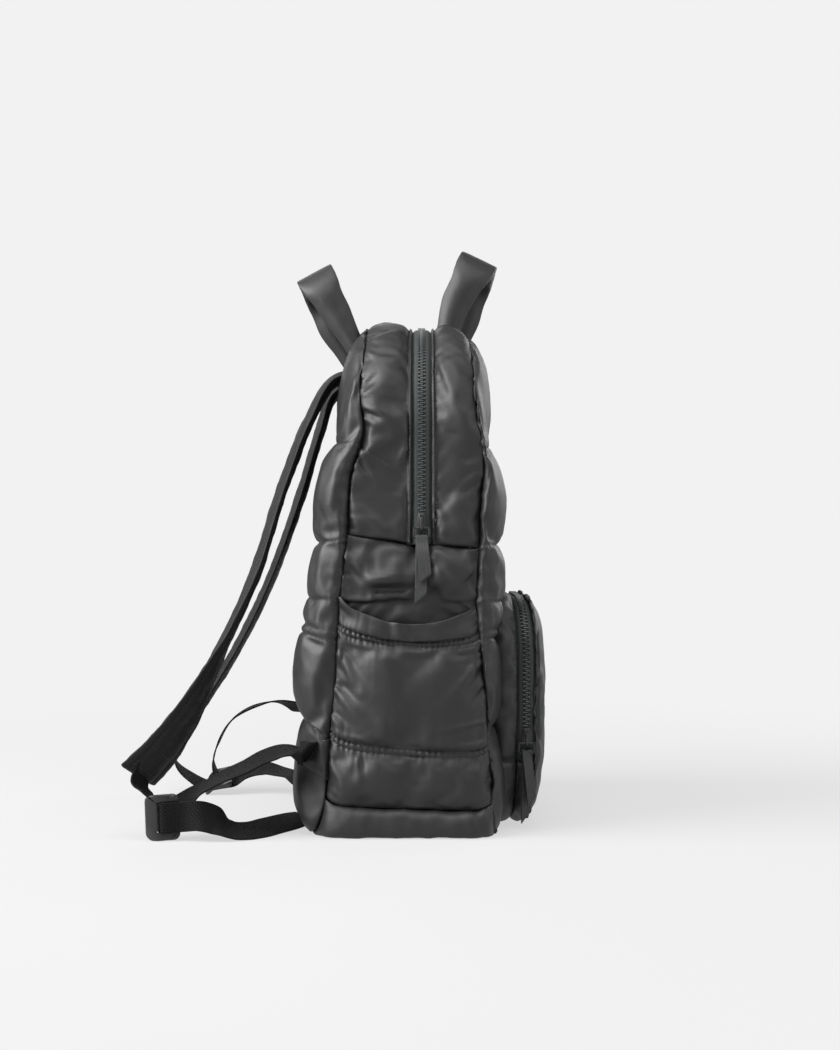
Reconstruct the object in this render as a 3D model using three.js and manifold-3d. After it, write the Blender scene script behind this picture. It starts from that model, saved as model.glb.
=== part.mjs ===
// A quilted backpack: padded front and back panels, a gusset with a zip over its top, slip pockets at
// both sides, a zipped front pocket, two grab handles and two shoulder straps with webbing and buckles.
// Millimetres, +Z up. The front faces -Y, the wearer's back is at +Y, and the origin lies on the floor
// under the middle of the body.
import * as THREE from "three";
import { mergeVertices } from "three/addons/utils/BufferGeometryUtils.js";
import Module from "manifold-3d";

const wasm = await Module();
wasm.setup();

// Driving dimensions

// The seams' outline seen from the front, and the two seams' depths, each a gentle parabola in height.
const OUTLINE = { halfWidth: 143, height: 439, topCorner: 95, bottomCorner: 18 };
const BACK_SEAM = { atFloor: 66, slope: -0.0712, bend: -0.000025 };
const FRONT_SEAM = { atFloor: -78, slope: 0.03, bend: 0.00003 };

const GAP = 0.3; // clearance between pieces that are sewn together
const TRIM_GAP = 0.5; // clearance left where one piece is cut back from another
const SEAM_INSET = 4; // a seam is drawn in this far from the outline
const LINING_INSET = 10; // the inner face of the padded walls
const SIDE_WRAP = 30; // how far in from its seam a panel takes to reach its full bulge
const TOP_WRAP = 62;
const OVERHANG = 5; // a panel swells past its own seam by this much
const WALL_DEPTH = 9; // padding between a panel's outer and inner faces

// Heights of the joins that run round the body.
const BASE_SEAM_Z = 24;
const POCKET_MOUTH_Z = 197;
const ZIP_END_Z = 246;

// The quilted puffs of the panels, from the floor up: the stitch line at each puff's top, how deep that
// line is drawn in, and how far the puff bulges at the back and at the front.
const PUFFS = [
  { top: 92, groove: 7, back: 30, front: 13 },
  { top: 170, groove: 5, back: 37, front: 15 },
  { top: 198, groove: 2.5, back: 34, front: 19 },
  { top: ZIP_END_Z, groove: 7, back: 32, front: 23 },
  { top: 329, groove: 8, back: 32, front: 23 },
  { top: OUTLINE.height - SEAM_INSET, groove: 0, back: 20, front: 16 },
];

const ZIP = { y: -20, halfWidth: 9.5, chainHalfWidth: 3.4, tapeTop: -2, tapeThickness: 1.2, chainRise: 2.4 };

const FRONT_POCKET = {
  halfWidth: 108, bottom: 6, top: 203, topCorner: 58, bottomCorner: 30,
  root: -76, zipBack: -100, zipFront: -116, bulge: 13, wall: 5, zipEnd: 59,
};

const WEBBING = { width: 25, thickness: 1.4 };
const HANDLE = { halfSpan: 62, rise: 70, corner: 26, width: 35, rootWidth: 24, thickness: 13, root: 14 };
const STRAP = { thickness: 12, edge: 5 };
const RIBBON = { width: 10, thickness: 0.9 };

// Materials

const finish = (color, roughness, metalness = 0) =>
  new THREE.MeshStandardMaterial({ color, roughness, metalness });
const NYLON = finish(0x2b2b2c, 0.42);
const WEAVE = finish(0x1a1a1c, 0.8);
const ZIP_TAPE = finish(0x1f2224, 0.75);
const MOULDED = finish(0x2a2c2e, 0.4);

// Small helpers

const { lerp, clamp, degToRad } = THREE.MathUtils;
const vec = (x, y, z) => new THREE.Vector3(x, y, z);
const steps = (count, from, to) =>
  Array.from({ length: count + 1 }, (_, i) => lerp(from, to, i / count));

// Rounded swell: 0 at both ends, 1 in the middle.
const swell = (t) => Math.pow(Math.max(0, 1 - (2 * clamp(t, 0, 1) - 1) ** 2), 0.6);
// Quarter round: 0 at the edge, 1 from one radius inwards.
const rounded = (t) => Math.sqrt(1 - (1 - clamp(t, 0, 1)) ** 2);

const parabola = ({ atFloor, slope, bend }, z) => atFloor + slope * z + bend * z * z;
const backSeam = (z) => parabola(BACK_SEAM, z);
const frontSeam = (z) => parabola(FRONT_SEAM, z);

// Solids

function solidFrom(points, triangles) {
  const make = (faces) =>
    new wasm.Manifold(
      new wasm.Mesh({
        numProp: 3,
        vertProperties: new Float32Array(points.flatMap((p) => [p.x, p.y, p.z])),
        triVerts: new Uint32Array(faces),
      }),
    );
  const made = make(triangles);
  return made.volume() > 0 ? made : make([...triangles].reverse());
}

// A closed wall between matching rows of outer and inner points. A looped wall joins its last row to its first.
function wall(outer, inner, looped = false) {
  const rows = outer.length;
  const columns = outer[0].length;
  const triangles = [];
  const out = (i, j) => (i % rows) * columns + j;
  const inn = (i, j) => rows * columns + out(i, j);
  const quad = (a, b, c, d) => triangles.push(a, b, c, a, c, d);
  const last = columns - 1;
  for (let i = 0; i < (looped ? rows : rows - 1); i++) {
    for (let j = 0; j < last; j++) {
      quad(out(i, j), out(i, j + 1), out(i + 1, j + 1), out(i + 1, j));
      quad(inn(i, j), inn(i + 1, j), inn(i + 1, j + 1), inn(i, j + 1));
    }
    quad(out(i, 0), out(i + 1, 0), inn(i + 1, 0), inn(i, 0));
    quad(out(i, last), inn(i, last), inn(i + 1, last), out(i + 1, last));
  }
  for (let j = 0; j < last && !looped; j++) {
    quad(out(0, j), inn(0, j), inn(0, j + 1), out(0, j + 1));
    quad(out(rows - 1, j), out(rows - 1, j + 1), inn(rows - 1, j + 1), inn(rows - 1, j));
  }
  return solidFrom([...outer.flat(), ...inner.flat()], triangles);
}

// A three.js geometry as a solid.
function solidOf(geometry) {
  const bare = geometry.clone();
  bare.deleteAttribute("normal");
  bare.deleteAttribute("uv");
  const merged = mergeVertices(bare, 1e-4);
  const at = merged.getAttribute("position");
  const points = Array.from({ length: at.count }, (_, i) => new THREE.Vector3().fromBufferAttribute(at, i));
  return solidFrom(points, [...merged.index.array]);
}

// The largest piece of a solid that is left outside the others.
function trimmed(solid, ...cutters) {
  const left = cutters.reduce((rest, cutter) => rest.subtract(cutter), solid).decompose();
  return left.reduce((most, piece) => (piece.volume() > most.volume() ? piece : most));
}

function geometryOf(solid) {
  const { numProp, numVert, vertProperties, triVerts } = solid.getMesh();
  const positions = new Float32Array(numVert * 3);
  for (let i = 0; i < numVert; i++) positions.set(vertProperties.subarray(i * numProp, i * numProp + 3), i * 3);
  const geometry = new THREE.BufferGeometry();
  geometry.setAttribute("position", new THREE.BufferAttribute(positions, 3));
  geometry.setIndex(new THREE.BufferAttribute(triVerts, 1));
  geometry.computeVertexNormals();
  return geometry;
}

const backpack = new THREE.Group();
backpack.name = "backpack";

function add(name, solid, material) {
  const mesh = new THREE.Mesh(geometryOf(solid), material);
  mesh.name = name;
  backpack.add(mesh);
}

// The outline seen from the front: a rounded rectangle, here drawn in by inset.
function halfWidthAt(z, inset) {
  const side = OUTLINE.halfWidth - inset;
  const top = OUTLINE.topCorner - inset;
  const bottom = OUTLINE.bottomCorner - inset;
  const aboveArc = z - (OUTLINE.height - OUTLINE.topCorner);
  const belowArc = OUTLINE.bottomCorner - z;
  if (aboveArc > 0) return side - top + Math.sqrt(Math.max(0, top * top - aboveArc * aboveArc));
  if (belowArc > 0) return side - bottom + Math.sqrt(Math.max(0, bottom * bottom - belowArc * belowArc));
  return side;
}

// How far a point lies inside a rounded rectangle, and which way its nearest edge faces.
function edgeOf(x, z, { halfWidth, bottom, top, topCorner, bottomCorner }) {
  const corner = z > (bottom + top) / 2 ? topCorner : bottomCorner;
  const acrossCorner = Math.abs(x) - (halfWidth - corner);
  const alongCorner = z > (bottom + top) / 2 ? z - (top - corner) : bottom + corner - z;
  const up = z > (bottom + top) / 2 ? 1 : -1;
  if (acrossCorner > 0 && alongCorner > 0) {
    const reach = Math.hypot(acrossCorner, alongCorner);
    const facing = [(Math.sign(x) * acrossCorner) / reach, (up * alongCorner) / reach];
    return { depth: corner - reach, facing };
  }
  if (acrossCorner > alongCorner) return { depth: corner - acrossCorner, facing: [Math.sign(x), 0] };
  return { depth: corner - alongCorner, facing: [0, up] };
}

// Front and back panels

const LEVELS_IN_A_PUFF = [0.15, 0.5, 0.85, 1];
const EDGE_STEPS = [2, 12, 30]; // how far in from the seams the rows and columns crowd together

function panelLevels() {
  const low = SEAM_INSET;
  const high = OUTLINE.height - SEAM_INSET;
  const levels = [low, ...EDGE_STEPS.map((d) => low + d), ...EDGE_STEPS.map((d) => high - d)];
  PUFFS.forEach((puff, k) => {
    const foot = k ? PUFFS[k - 1].top : low;
    LEVELS_IN_A_PUFF.forEach((t) => levels.push(lerp(foot, puff.top, t)));
  });
  levels.sort((a, b) => a - b);
  return levels.filter((z, i) => i < 2 || z - levels[i - 1] > 3 || z >= high - EDGE_STEPS[0]);
}

// Places across a panel of a given half width, crowded at its edges.
function panelColumns(half) {
  const edge = [0, ...EDGE_STEPS].map((d) => d - half);
  const middle = edge[edge.length - 1] / 2;
  return [...edge, middle, 0, -middle, ...edge.map((x) => -x).reverse()];
}

// How far a panel stands out at a height: its puff, and the grooves at both ends of the puff.
function panelBulge(z, side, grooved) {
  const k = Math.max(0, PUFFS.findIndex((puff) => z <= puff.top + 1e-6));
  const foot = k ? PUFFS[k - 1].top : -PUFFS[0].top;
  const head = k === PUFFS.length - 1 ? 2 * PUFFS[k].top - foot : PUFFS[k].top;
  const t = (z - foot) / (head - foot);
  const neighbour = PUFFS[clamp(t < 0.5 ? k - 1 : k + 1, 0, PUFFS.length - 1)];
  const smooth = lerp(PUFFS[k][side], (PUFFS[k][side] + neighbour[side]) / 2, Math.abs(2 * t - 1));
  const groove = t < 0.5 && k ? PUFFS[k - 1].groove : PUFFS[k].groove;
  return grooved ? smooth - groove * (1 - swell(t)) : smooth;
}

function panelRow(level, side, { inset, depth, grooved, overhang }) {
  const high = OUTLINE.height - SEAM_INSET;
  const z = lerp(inset, OUTLINE.height - inset, (level - SEAM_INSET) / (high - SEAM_INSET));
  const seamGap = GAP / 2 + 0.1;
  const box = {
    halfWidth: OUTLINE.halfWidth - inset, bottom: inset, top: OUTLINE.height - inset,
    topCorner: OUTLINE.topCorner - inset, bottomCorner: OUTLINE.bottomCorner - inset,
  };
  return panelColumns(halfWidthAt(z, inset)).map((x) => {
    const edge = edgeOf(x, z, box);
    const inwards = clamp(edge.depth / SIDE_WRAP, 0, 1);
    const round = rounded(inwards) * rounded((box.top - z) / TOP_WRAP);
    const out = (panelBulge(level, side, grooved) - depth) * round;
    const past = overhang * Math.sin(Math.PI * inwards ** 0.4);
    const height = Math.max(0.6, z + edge.facing[1] * past);
    const y = side === "back" ? backSeam(height) + seamGap + out : frontSeam(height) - seamGap - out;
    return vec(x + edge.facing[0] * past, y, height);
  });
}

// grow swells the outer face a little, for cutting other pieces back from it.
function panel(side, grow = 0) {
  const skin = { inset: SEAM_INSET - grow, depth: -grow, grooved: true, overhang: OVERHANG };
  const lining = { inset: LINING_INSET, depth: WALL_DEPTH, grooved: false, overhang: 0 };
  const layer = (at) => panelLevels().map((level) => panelRow(level, side, at));
  return wall(layer(skin), layer(lining));
}

// The gusset, a band that runs round the outline between the two panels

// Stations of the band at one side: where the outline is at a height, and which way it faces.
function sideStation(z, sign) {
  const aboveArc = z - (OUTLINE.height - OUTLINE.topCorner);
  const belowArc = OUTLINE.bottomCorner - z;
  const tilt = aboveArc > 0 ? aboveArc / OUTLINE.topCorner : belowArc > 0 ? -belowArc / OUTLINE.bottomCorner : 0;
  return { x: sign * halfWidthAt(z, 0), z, facing: [sign * Math.sqrt(1 - tilt * tilt), tilt] };
}

const SIDE_STEPS = 4;
const CORNER_STEPS = 6;
const FLAT_STEPS = 4;

// Stations from one side over the top to the other, starting at height z.
function overTop(z) {
  const { halfWidth, height, topCorner } = OUTLINE;
  const left = steps(SIDE_STEPS, z, height - topCorner).map((level) => sideStation(level, -1));
  const corner = steps(CORNER_STEPS, 0, 90).slice(1).map((degrees) => {
    const turn = degToRad(degrees);
    const facing = [-Math.cos(turn), Math.sin(turn)];
    return {
      x: topCorner - halfWidth + facing[0] * topCorner, z: height - topCorner + facing[1] * topCorner, facing,
    };
  });
  const flat = steps(FLAT_STEPS, topCorner - halfWidth, halfWidth - topCorner).slice(1, -1)
    .map((x) => ({ x, z: height, facing: [0, 1] }));
  const half = [...left, ...corner];
  const other = half.map(({ x, z: level, facing }) => ({ x: -x, z: level, facing: [-facing[0], facing[1]] }));
  return [...half, ...flat, ...other.reverse()];
}

// A point of the band, off its outline by rise, at a depth that may follow the height.
function bandPoint(station, rise, depthAt) {
  const z = station.z + station.facing[1] * rise;
  return vec(station.x + station.facing[0] * rise, depthAt(z), z);
}

const GUSSET = { swell: 7, zipEdge: -1, columns: 6 };

// One padded half of the upper gusset, between the zip and a panel's seam.
function gussetHalf(side, grow = 0) {
  const seamAt = (z) => (side === "back" ? backSeam(z) - GAP / 2 : frontSeam(z) + GAP / 2);
  const zipAt = ZIP.y + (side === "back" ? 1 : -1) * (ZIP.halfWidth + GAP);
  const stations = overTop(ZIP_END_Z + GAP / 2);
  const outwards = Math.sign(zipAt - ZIP.y) * grow;
  const layer = (riseAt) => stations.map((station) =>
    steps(GUSSET.columns - 1, 0, 1).map((t) =>
      bandPoint(station, riseAt(t, station), (z) => lerp(zipAt - outwards, seamAt(z) + outwards, t))));
  const skin = (t, { z }) => {
    const nearEnd = rounded((z - ZIP_END_Z) / 16);
    return lerp(GUSSET.zipEdge, -SEAM_INSET, t) + GUSSET.swell * swell(t) * lerp(0.2, 1, nearEnd) + grow;
  };
  return wall(layer(skin), layer(() => -LINING_INSET));
}

// A flat strip of a zip, between two depths and two rises.
function zipStrip(stations, depths, rises, depthAt = (y) => y) {
  const layer = (rise) => stations.map((station) =>
    depths.map((y) => bandPoint(station, rise, (z) => depthAt(y, z))));
  return wall(layer(rises[1]), layer(rises[0]));
}

function mainZip() {
  const { y, halfWidth, chainHalfWidth, tapeTop, tapeThickness, chainRise } = ZIP;
  const tape = [tapeTop - tapeThickness, tapeTop];
  const stations = overTop(ZIP_END_Z + GAP);
  add("zip_tape_back", zipStrip(stations, [y + chainHalfWidth + GAP, y + halfWidth], tape), ZIP_TAPE);
  add("zip_tape_front", zipStrip(stations, [y - halfWidth, y - chainHalfWidth - GAP], tape), ZIP_TAPE);
  const chain = [y - chainHalfWidth, y + chainHalfWidth];
  add("zip_chain", zipStrip(overTop(SLIDER_Z + SLIDER.reach + GAP), chain, [tape[0], tape[0] + chainRise + 1]), MOULDED);
}

// The lower side panels, which the slip pockets cover from the floor to the pockets' mouths

const SIDE_PANEL = { levels: [24, 60, 100, 150, 197.4, 200, 208, 221, 235, 243, 246], columns: 6, swell: 10 };
const POCKET_RECESS = 3;

function sidePanel(sign) {
  const { levels, columns, swell: fullness } = SIDE_PANEL;
  const foot = BASE_SEAM_Z + GAP / 2;
  const head = ZIP_END_Z - GAP / 2;
  const layer = (riseAt) => levels.map((level) =>
    steps(columns - 1, 0, 1).map((t) =>
      bandPoint(sideStation(clamp(level, foot, head), sign), riseAt(t, level), (z) =>
        lerp(frontSeam(z) + GAP / 2, backSeam(z) - GAP / 2, t))));
  const skin = (t, level) => {
    if (level < POCKET_MOUTH_Z + 1) return -SEAM_INSET - POCKET_RECESS;
    return -SEAM_INSET + fullness * swell(t) * swell((level - POCKET_MOUTH_Z) / (ZIP_END_Z - POCKET_MOUTH_Z));
  };
  return wall(layer(skin), layer(() => -LINING_INSET));
}

// The base, the part of the band that the bag stands on

// Levels of its side, then turns of its rounded edge in degrees, and how far it stands off the outline there.
const BASE_SIDE = [{ z: BASE_SEAM_Z - GAP / 2, rise: -SEAM_INSET }, { z: 19, rise: 2 }];
const BASE_EDGE = [{ turn: 22.5, rise: 4 }, { turn: 45, rise: 4 }, { turn: 67.5, rise: 1.3 }, { turn: 90, rise: 0 }];

function base() {
  const { halfWidth, bottomCorner } = OUTLINE;
  const side = BASE_SIDE.map(({ z, rise }) => ({ ...sideStation(z, -1), rise }));
  const edge = BASE_EDGE.map(({ turn, rise }) => {
    const facing = [-Math.cos(degToRad(turn)), -Math.sin(degToRad(turn))];
    return { x: bottomCorner - halfWidth + facing[0] * bottomCorner, z: bottomCorner * (1 + facing[1]), facing, rise };
  });
  const half = [...side, ...edge];
  const flat = steps(4, bottomCorner - halfWidth, halfWidth - bottomCorner).slice(1, -1)
    .map((x) => ({ x, z: 0, facing: [0, -1], rise: 0 }));
  const other = half.map((s) => ({ ...s, x: -s.x, facing: [-s.facing[0], s.facing[1]] })).reverse();
  const stations = [...half, ...flat, ...other];
  const across = [0, 0.07, 0.5, 0.93, 1];
  const layer = (riseAt) => stations.map((station) =>
    across.map((t) => bandPoint(station, riseAt(station, t), (z) =>
      lerp(frontSeam(z) + GAP / 2, backSeam(z) - GAP / 2, t))));
  const skin = ({ rise }, t) => (t === 0 || t === 1 ? -SEAM_INSET : rise);
  return wall(layer(skin), layer(() => -LINING_INSET));
}

// Slip pockets at the sides, open at the top

const SLIP_POCKET = { columns: 9, fullness: 17, sag: 9, wall: 3.2, edgeWall: 2.6 };
// The pocket's own stitch lines, as shares of its height, and how deep they are drawn in.
const SLIP_LEVELS = [
  { share: 0, groove: 0 }, { share: 0.04, groove: 0 }, { share: 0.13, groove: 0 }, { share: 0.27, groove: 0 },
  { share: 0.31, groove: 3 }, { share: 0.35, groove: 0 }, { share: 0.5, groove: 0 }, { share: 0.66, groove: 0 },
  { share: 0.78, groove: 1 }, { share: 0.82, groove: 3.5 }, { share: 0.86, groove: 1 }, { share: 1, groove: 0 },
];

function slipPocket(sign) {
  const { columns, fullness, sag, wall: thickness, edgeWall } = SLIP_POCKET;
  const foot = BASE_SEAM_Z + GAP;
  const layer = (riseAt) => SLIP_LEVELS.map(({ share, groove }) =>
    steps(columns - 1, 0, 1).map((t) => {
      const z = lerp(foot, POCKET_MOUTH_Z - GAP - sag * swell(t), share);
      return bandPoint(sideStation(z, sign), riseAt(t, share, groove), (level) =>
        lerp(frontSeam(level) + GAP, backSeam(level) - GAP, t));
    }));
  const skin = (t, share, groove) =>
    -SEAM_INSET + (fullness - groove) * swell(t) * rounded(share / 0.3) * lerp(1, 0.85, share);
  const floor = -SEAM_INSET - edgeWall;
  return wall(layer(skin), layer((t, share, groove) => Math.max(floor, skin(t, share, groove) - thickness)));
}

// The front pocket, a padded face on a gusset with its own zip

function pocketStations() {
  const { halfWidth, bottom, top, topCorner, bottomCorner } = FRONT_POCKET;
  const corner = (cx, cz, radius, from, count) => steps(count, from, from + 90).map((degrees) => {
    const facing = [Math.cos(degToRad(degrees)), Math.sin(degToRad(degrees))];
    return { x: cx + radius * facing[0], z: cz + radius * facing[1], facing };
  });
  const levels = [FRONT_POCKET.zipEnd, POCKET_SLIDER_Z + SLIDER.reach + GAP, 116];
  const side = (sign) => levels.map((z) => ({ x: sign * halfWidth, z, facing: [sign, 0] }));
  return {
    upper: [
      ...side(1),
      ...corner(halfWidth - topCorner, top - topCorner, topCorner, 0, 6),
      ...corner(topCorner - halfWidth, top - topCorner, topCorner, 90, 6),
      ...side(-1).reverse(),
    ],
    lower: [
      { x: -halfWidth, z: FRONT_POCKET.zipEnd, facing: [-1, 0] },
      ...corner(bottomCorner - halfWidth, bottom + bottomCorner, bottomCorner, 180, 3),
      ...corner(halfWidth - bottomCorner, bottom + bottomCorner, bottomCorner, 270, 3),
      { x: halfWidth, z: FRONT_POCKET.zipEnd, facing: [1, 0] },
    ],
  };
}

// The pocket is shallower near its bottom and its top.
function pocketDepth(y, z) {
  const { root, top } = FRONT_POCKET;
  const share = lerp(0.7, 1, rounded(z / 100)) * lerp(0.84, 1, rounded((top - z) / 60));
  return root + (y - root) * share;
}

// A padded band round the front pocket between two depths.
function pocketBand(stations, from, to, looped) {
  const layer = (riseAt) => stations.map((station) =>
    steps(3, 0, 1).map((t) => bandPoint(station, riseAt(t), (z) => pocketDepth(lerp(from, to, t), z))));
  return wall(layer((t) => 3 * swell(t) - 1), layer(() => -FRONT_POCKET.wall), looped);
}

function pocketFace() {
  const { halfWidth, bottom, top, topCorner, bottomCorner, zipFront, bulge, wall: thickness } = FRONT_POCKET;
  const columns = steps(10, -1, 1).map((t) => Math.sin((Math.PI / 2) * t));
  const levels = steps(12, -1, 1).map((t) => Math.sin((Math.PI / 2) * t) / 2 + 0.5);
  const layer = (inset, depth) => {
    const box = {
      halfWidth: halfWidth - inset, bottom: bottom + inset, top: top - inset,
      topCorner: topCorner - inset, bottomCorner: bottomCorner - inset,
    };
    return levels.map((share) => columns.map((c) => {
      const z = lerp(box.bottom, box.top, share);
      const upArc = z - (box.top - box.topCorner);
      const downArc = box.bottom + box.bottomCorner - z;
      const radius = upArc > 0 ? box.topCorner : box.bottomCorner;
      const drawn = radius - Math.sqrt(Math.max(0, radius ** 2 - Math.max(0, upArc, downArc) ** 2));
      const x = c * (box.halfWidth - drawn);
      const out = rounded(Math.max(0, edgeOf(x, z, box).depth) / 22);
      return vec(x, pocketDepth(zipFront - GAP - (bulge - depth) * out, z), z);
    }));
  };
  return wall(layer(1, 0), layer(1 + thickness, thickness));
}

function frontPocket(frontPanelCutter) {
  const { root, zipBack, zipFront } = FRONT_POCKET;
  const { upper, lower } = pocketStations();
  const ring = [...upper, ...lower.slice(1, -1)];
  add("pocket_gusset", trimmed(pocketBand(ring, root, zipBack, true), frontPanelCutter), NYLON);
  const below = lower.map((s) => ({ ...s, z: Math.min(s.z, FRONT_POCKET.zipEnd - GAP) }));
  add("pocket_gusset_lower", pocketBand(below, zipBack - GAP, zipFront, false), NYLON);
  const middle = (zipBack + zipFront) / 2;
  const { chainHalfWidth, tapeTop, tapeThickness, chainRise } = ZIP;
  const tape = [tapeTop - tapeThickness, tapeTop];
  add("pocket_zip_tape_back", zipStrip(upper, [middle + chainHalfWidth + GAP, zipBack - GAP], tape, pocketDepth), ZIP_TAPE);
  add("pocket_zip_tape_front", zipStrip(upper, [zipFront, middle - chainHalfWidth - GAP], tape, pocketDepth), ZIP_TAPE);
  const chainStations = upper.slice(1, -1);
  const chain = [middle - chainHalfWidth, middle + chainHalfWidth];
  const chainRises = [tape[0], tape[0] + chainRise + 1];
  add("pocket_zip_chain", zipStrip(chainStations, chain, chainRises, pocketDepth), MOULDED);
  add("pocket_face", pocketFace(), NYLON);
}

// Straps, handles and webbing: flat or padded strips swept along a curve

// Each row gives a point of the middle line, the way the strip's width runs there, and its width.
function strip(rows, { thickness, edge = thickness, sections, columns = 2 }) {
  const line = new THREE.CatmullRomCurve3(rows.map(({ at }) => vec(...at)), false, "centripetal");
  const outer = [];
  const inner = [];
  for (const u of steps(sections, 0, 1)) {
    const place = u * (rows.length - 1);
    const k = Math.min(Math.floor(place), rows.length - 2);
    const share = place - k;
    const tangent = line.getTangent(u);
    const across = vec(...rows[k].across).lerp(vec(...rows[k + 1].across), share);
    across.addScaledVector(tangent, -across.dot(tangent)).normalize();
    const normal = new THREE.Vector3().crossVectors(tangent, across);
    const width = lerp(rows[k].width ?? WEBBING.width, rows[k + 1].width ?? WEBBING.width, share);
    const middle = line.getPoint(u);
    const side = (sign) => steps(columns - 1, -1, 1).map((t) => {
      const half = lerp(thickness, edge, Math.abs(t) ** 3) / 2;
      return middle.clone().addScaledVector(across, (t * width) / 2).addScaledVector(normal, sign * half);
    });
    outer.push(side(1));
    inner.push(side(-1));
  }
  return wall(outer, inner);
}

// A grab handle: a padded strip that rises from its root, bends over and comes down again, in a plane
// that leans away from the upright by lean degrees.
function handle(rootY, rootZ, lean) {
  const { halfSpan, rise, corner, width, rootWidth, thickness, root } = HANDLE;
  const up = vec(0, Math.sin(degToRad(lean)), Math.cos(degToRad(lean)));
  const across = [0, Math.cos(degToRad(lean)), -Math.sin(degToRad(lean))];
  const leg = [[-halfSpan - 2, -root], [-halfSpan - 1, 8], [-halfSpan, rise - 1.6 * corner]];
  const bend = [20, 45, 70].map((degrees) => [
    corner - halfSpan - corner * Math.cos(degToRad(degrees)), rise - corner + corner * Math.sin(degToRad(degrees)),
  ]);
  const half = [...leg, ...bend];
  const path = [...half, [0, rise + 1], ...half.map(([x, h]) => [-x, h]).reverse()];
  const rows = path.map(([x, h]) => ({
    at: [x, rootY + up.y * h, rootZ + up.z * h], across, width: lerp(rootWidth, width, clamp(h / (0.6 * rise), 0, 1)),
  }));
  return strip(rows, { thickness, edge: 5, sections: 22, columns: 5 });
}

// Shoulder straps. Rows run from inside the back panel down to the strap's lower end.
const LEFT_STRAP = [
  { at: [-46, 40, 399], across: [1, 0, 0], width: 58 },
  { at: [-49, 63, 390], across: [1, 0.05, 0], width: 58 },
  { at: [-58, 84, 354], across: [1, 0.1, 0.05], width: 60 },
  { at: [-72, 106, 297], across: [1, 0.12, 0.05], width: 60 },
  { at: [-90, 130, 222], across: [1, 0.12, 0.05], width: 56 },
  { at: [-108, 158, 161], across: [1, 0.05, -0.05], width: 52 },
  { at: [-126, 184, 108], across: [1, -0.3, -0.3], width: 47 },
  { at: [-138, 206, 74], across: [0.9, -0.6, -0.4], width: 44 },
  { at: [-147, 223, 52], across: [0.7, -0.7, -0.4], width: 42 },
];
const RIGHT_STRAP = [
  { at: [46, 40, 399], across: [1, 0, 0], width: 58 },
  { at: [48, 66, 386], across: [1, 0, 0], width: 58 },
  { at: [53, 80, 353], across: [1, 0, 0], width: 60 },
  { at: [66, 101, 290], across: [1, -0.05, 0], width: 60 },
  { at: [80, 127, 222], across: [1, -0.05, 0], width: 56 },
  { at: [91, 153, 166], across: [1, -0.05, 0], width: 52 },
  { at: [100, 182, 116], across: [1, 0, 0], width: 47 },
  { at: [105, 208, 72], across: [1, 0.1, 0.1], width: 44 },
  { at: [108, 224, 38], across: [1, 0.2, 0.1], width: 42 },
];

const STRAP_SHAPE = { thickness: STRAP.thickness, edge: STRAP.edge, sections: 22, columns: 5 };

// Ladder-lock buckles: a flat frame with two slots. Its length runs along a, its width along b, and c is
// the way its face looks.
const BUCKLE = {
  halfWidth: 18.5, back: -17, front: 12, thickness: 3.6, backSlotHalfWidth: 13.6, slotHalfWidth: 13.2,
  barHalf: 1.8, backBar: [-17, -9], frontBar: [8, 12], turn: 3.7, loopTurn: 4.2,
};

function frameOf(at, a, b) {
  const length = vec(...a).normalize();
  const width = vec(...b).addScaledVector(length, -vec(...b).dot(length)).normalize();
  const face = new THREE.Vector3().crossVectors(length, width);
  const matrix = new THREE.Matrix4().makeBasis(length, width, face).setPosition(...at);
  return { matrix, width: width.toArray(), point: (u, w) => vec(u, 0, w).applyMatrix4(matrix).toArray() };
}

const LEFT_BUCKLE = frameOf([-164, 197, 19.6], [0.3, -1, 0.04], [0, 0, 1]);
const RIGHT_BUCKLE = frameOf([103, 180, 14], [-0.05, -1, 0.2], [1, 0.15, 0.3]);

function buckle(frame) {
  const { halfWidth, back, front, thickness, barHalf, backBar, frontBar } = BUCKLE;
  const outline = new THREE.Shape();
  const corner = 7;
  outline.moveTo(back, 3 - halfWidth);
  outline.lineTo(back + 3, -halfWidth);
  outline.lineTo(front - corner, -halfWidth);
  outline.absarc(front - corner, corner - halfWidth, corner, -Math.PI / 2, 0);
  outline.lineTo(front, halfWidth - corner);
  outline.absarc(front - corner, halfWidth - corner, corner, 0, Math.PI / 2);
  outline.lineTo(back + 3, halfWidth);
  outline.lineTo(back, halfWidth - 3);
  const slot = (from, to, reach) => {
    const hole = new THREE.Path();
    hole.moveTo(from, -reach);
    hole.lineTo(from, reach);
    hole.lineTo(to, reach);
    hole.lineTo(to, -reach);
    return hole;
  };
  outline.holes.push(slot(backBar[1], -barHalf, BUCKLE.backSlotHalfWidth));
  outline.holes.push(slot(barHalf, frontBar[0], BUCKLE.slotHalfWidth));
  const shape = new THREE.ExtrudeGeometry(outline, { depth: thickness, bevelEnabled: false, curveSegments: 4 });
  shape.translate(0, 0, -thickness / 2).applyMatrix4(frame.matrix);
  return solidOf(shape);
}

// The webbing's way round a bar of the buckle, as rows from one face of it to the other.
function roundBar(frame, barAt, turn, from, to) {
  return steps(4, from, to).map((degrees) => {
    const angle = degToRad(degrees);
    return { at: frame.point(barAt + turn * Math.cos(angle), turn * Math.sin(angle)), across: frame.width };
  });
}

const reversed = ({ at, across }) => ({ at, across: across.map((v) => -v) });

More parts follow.
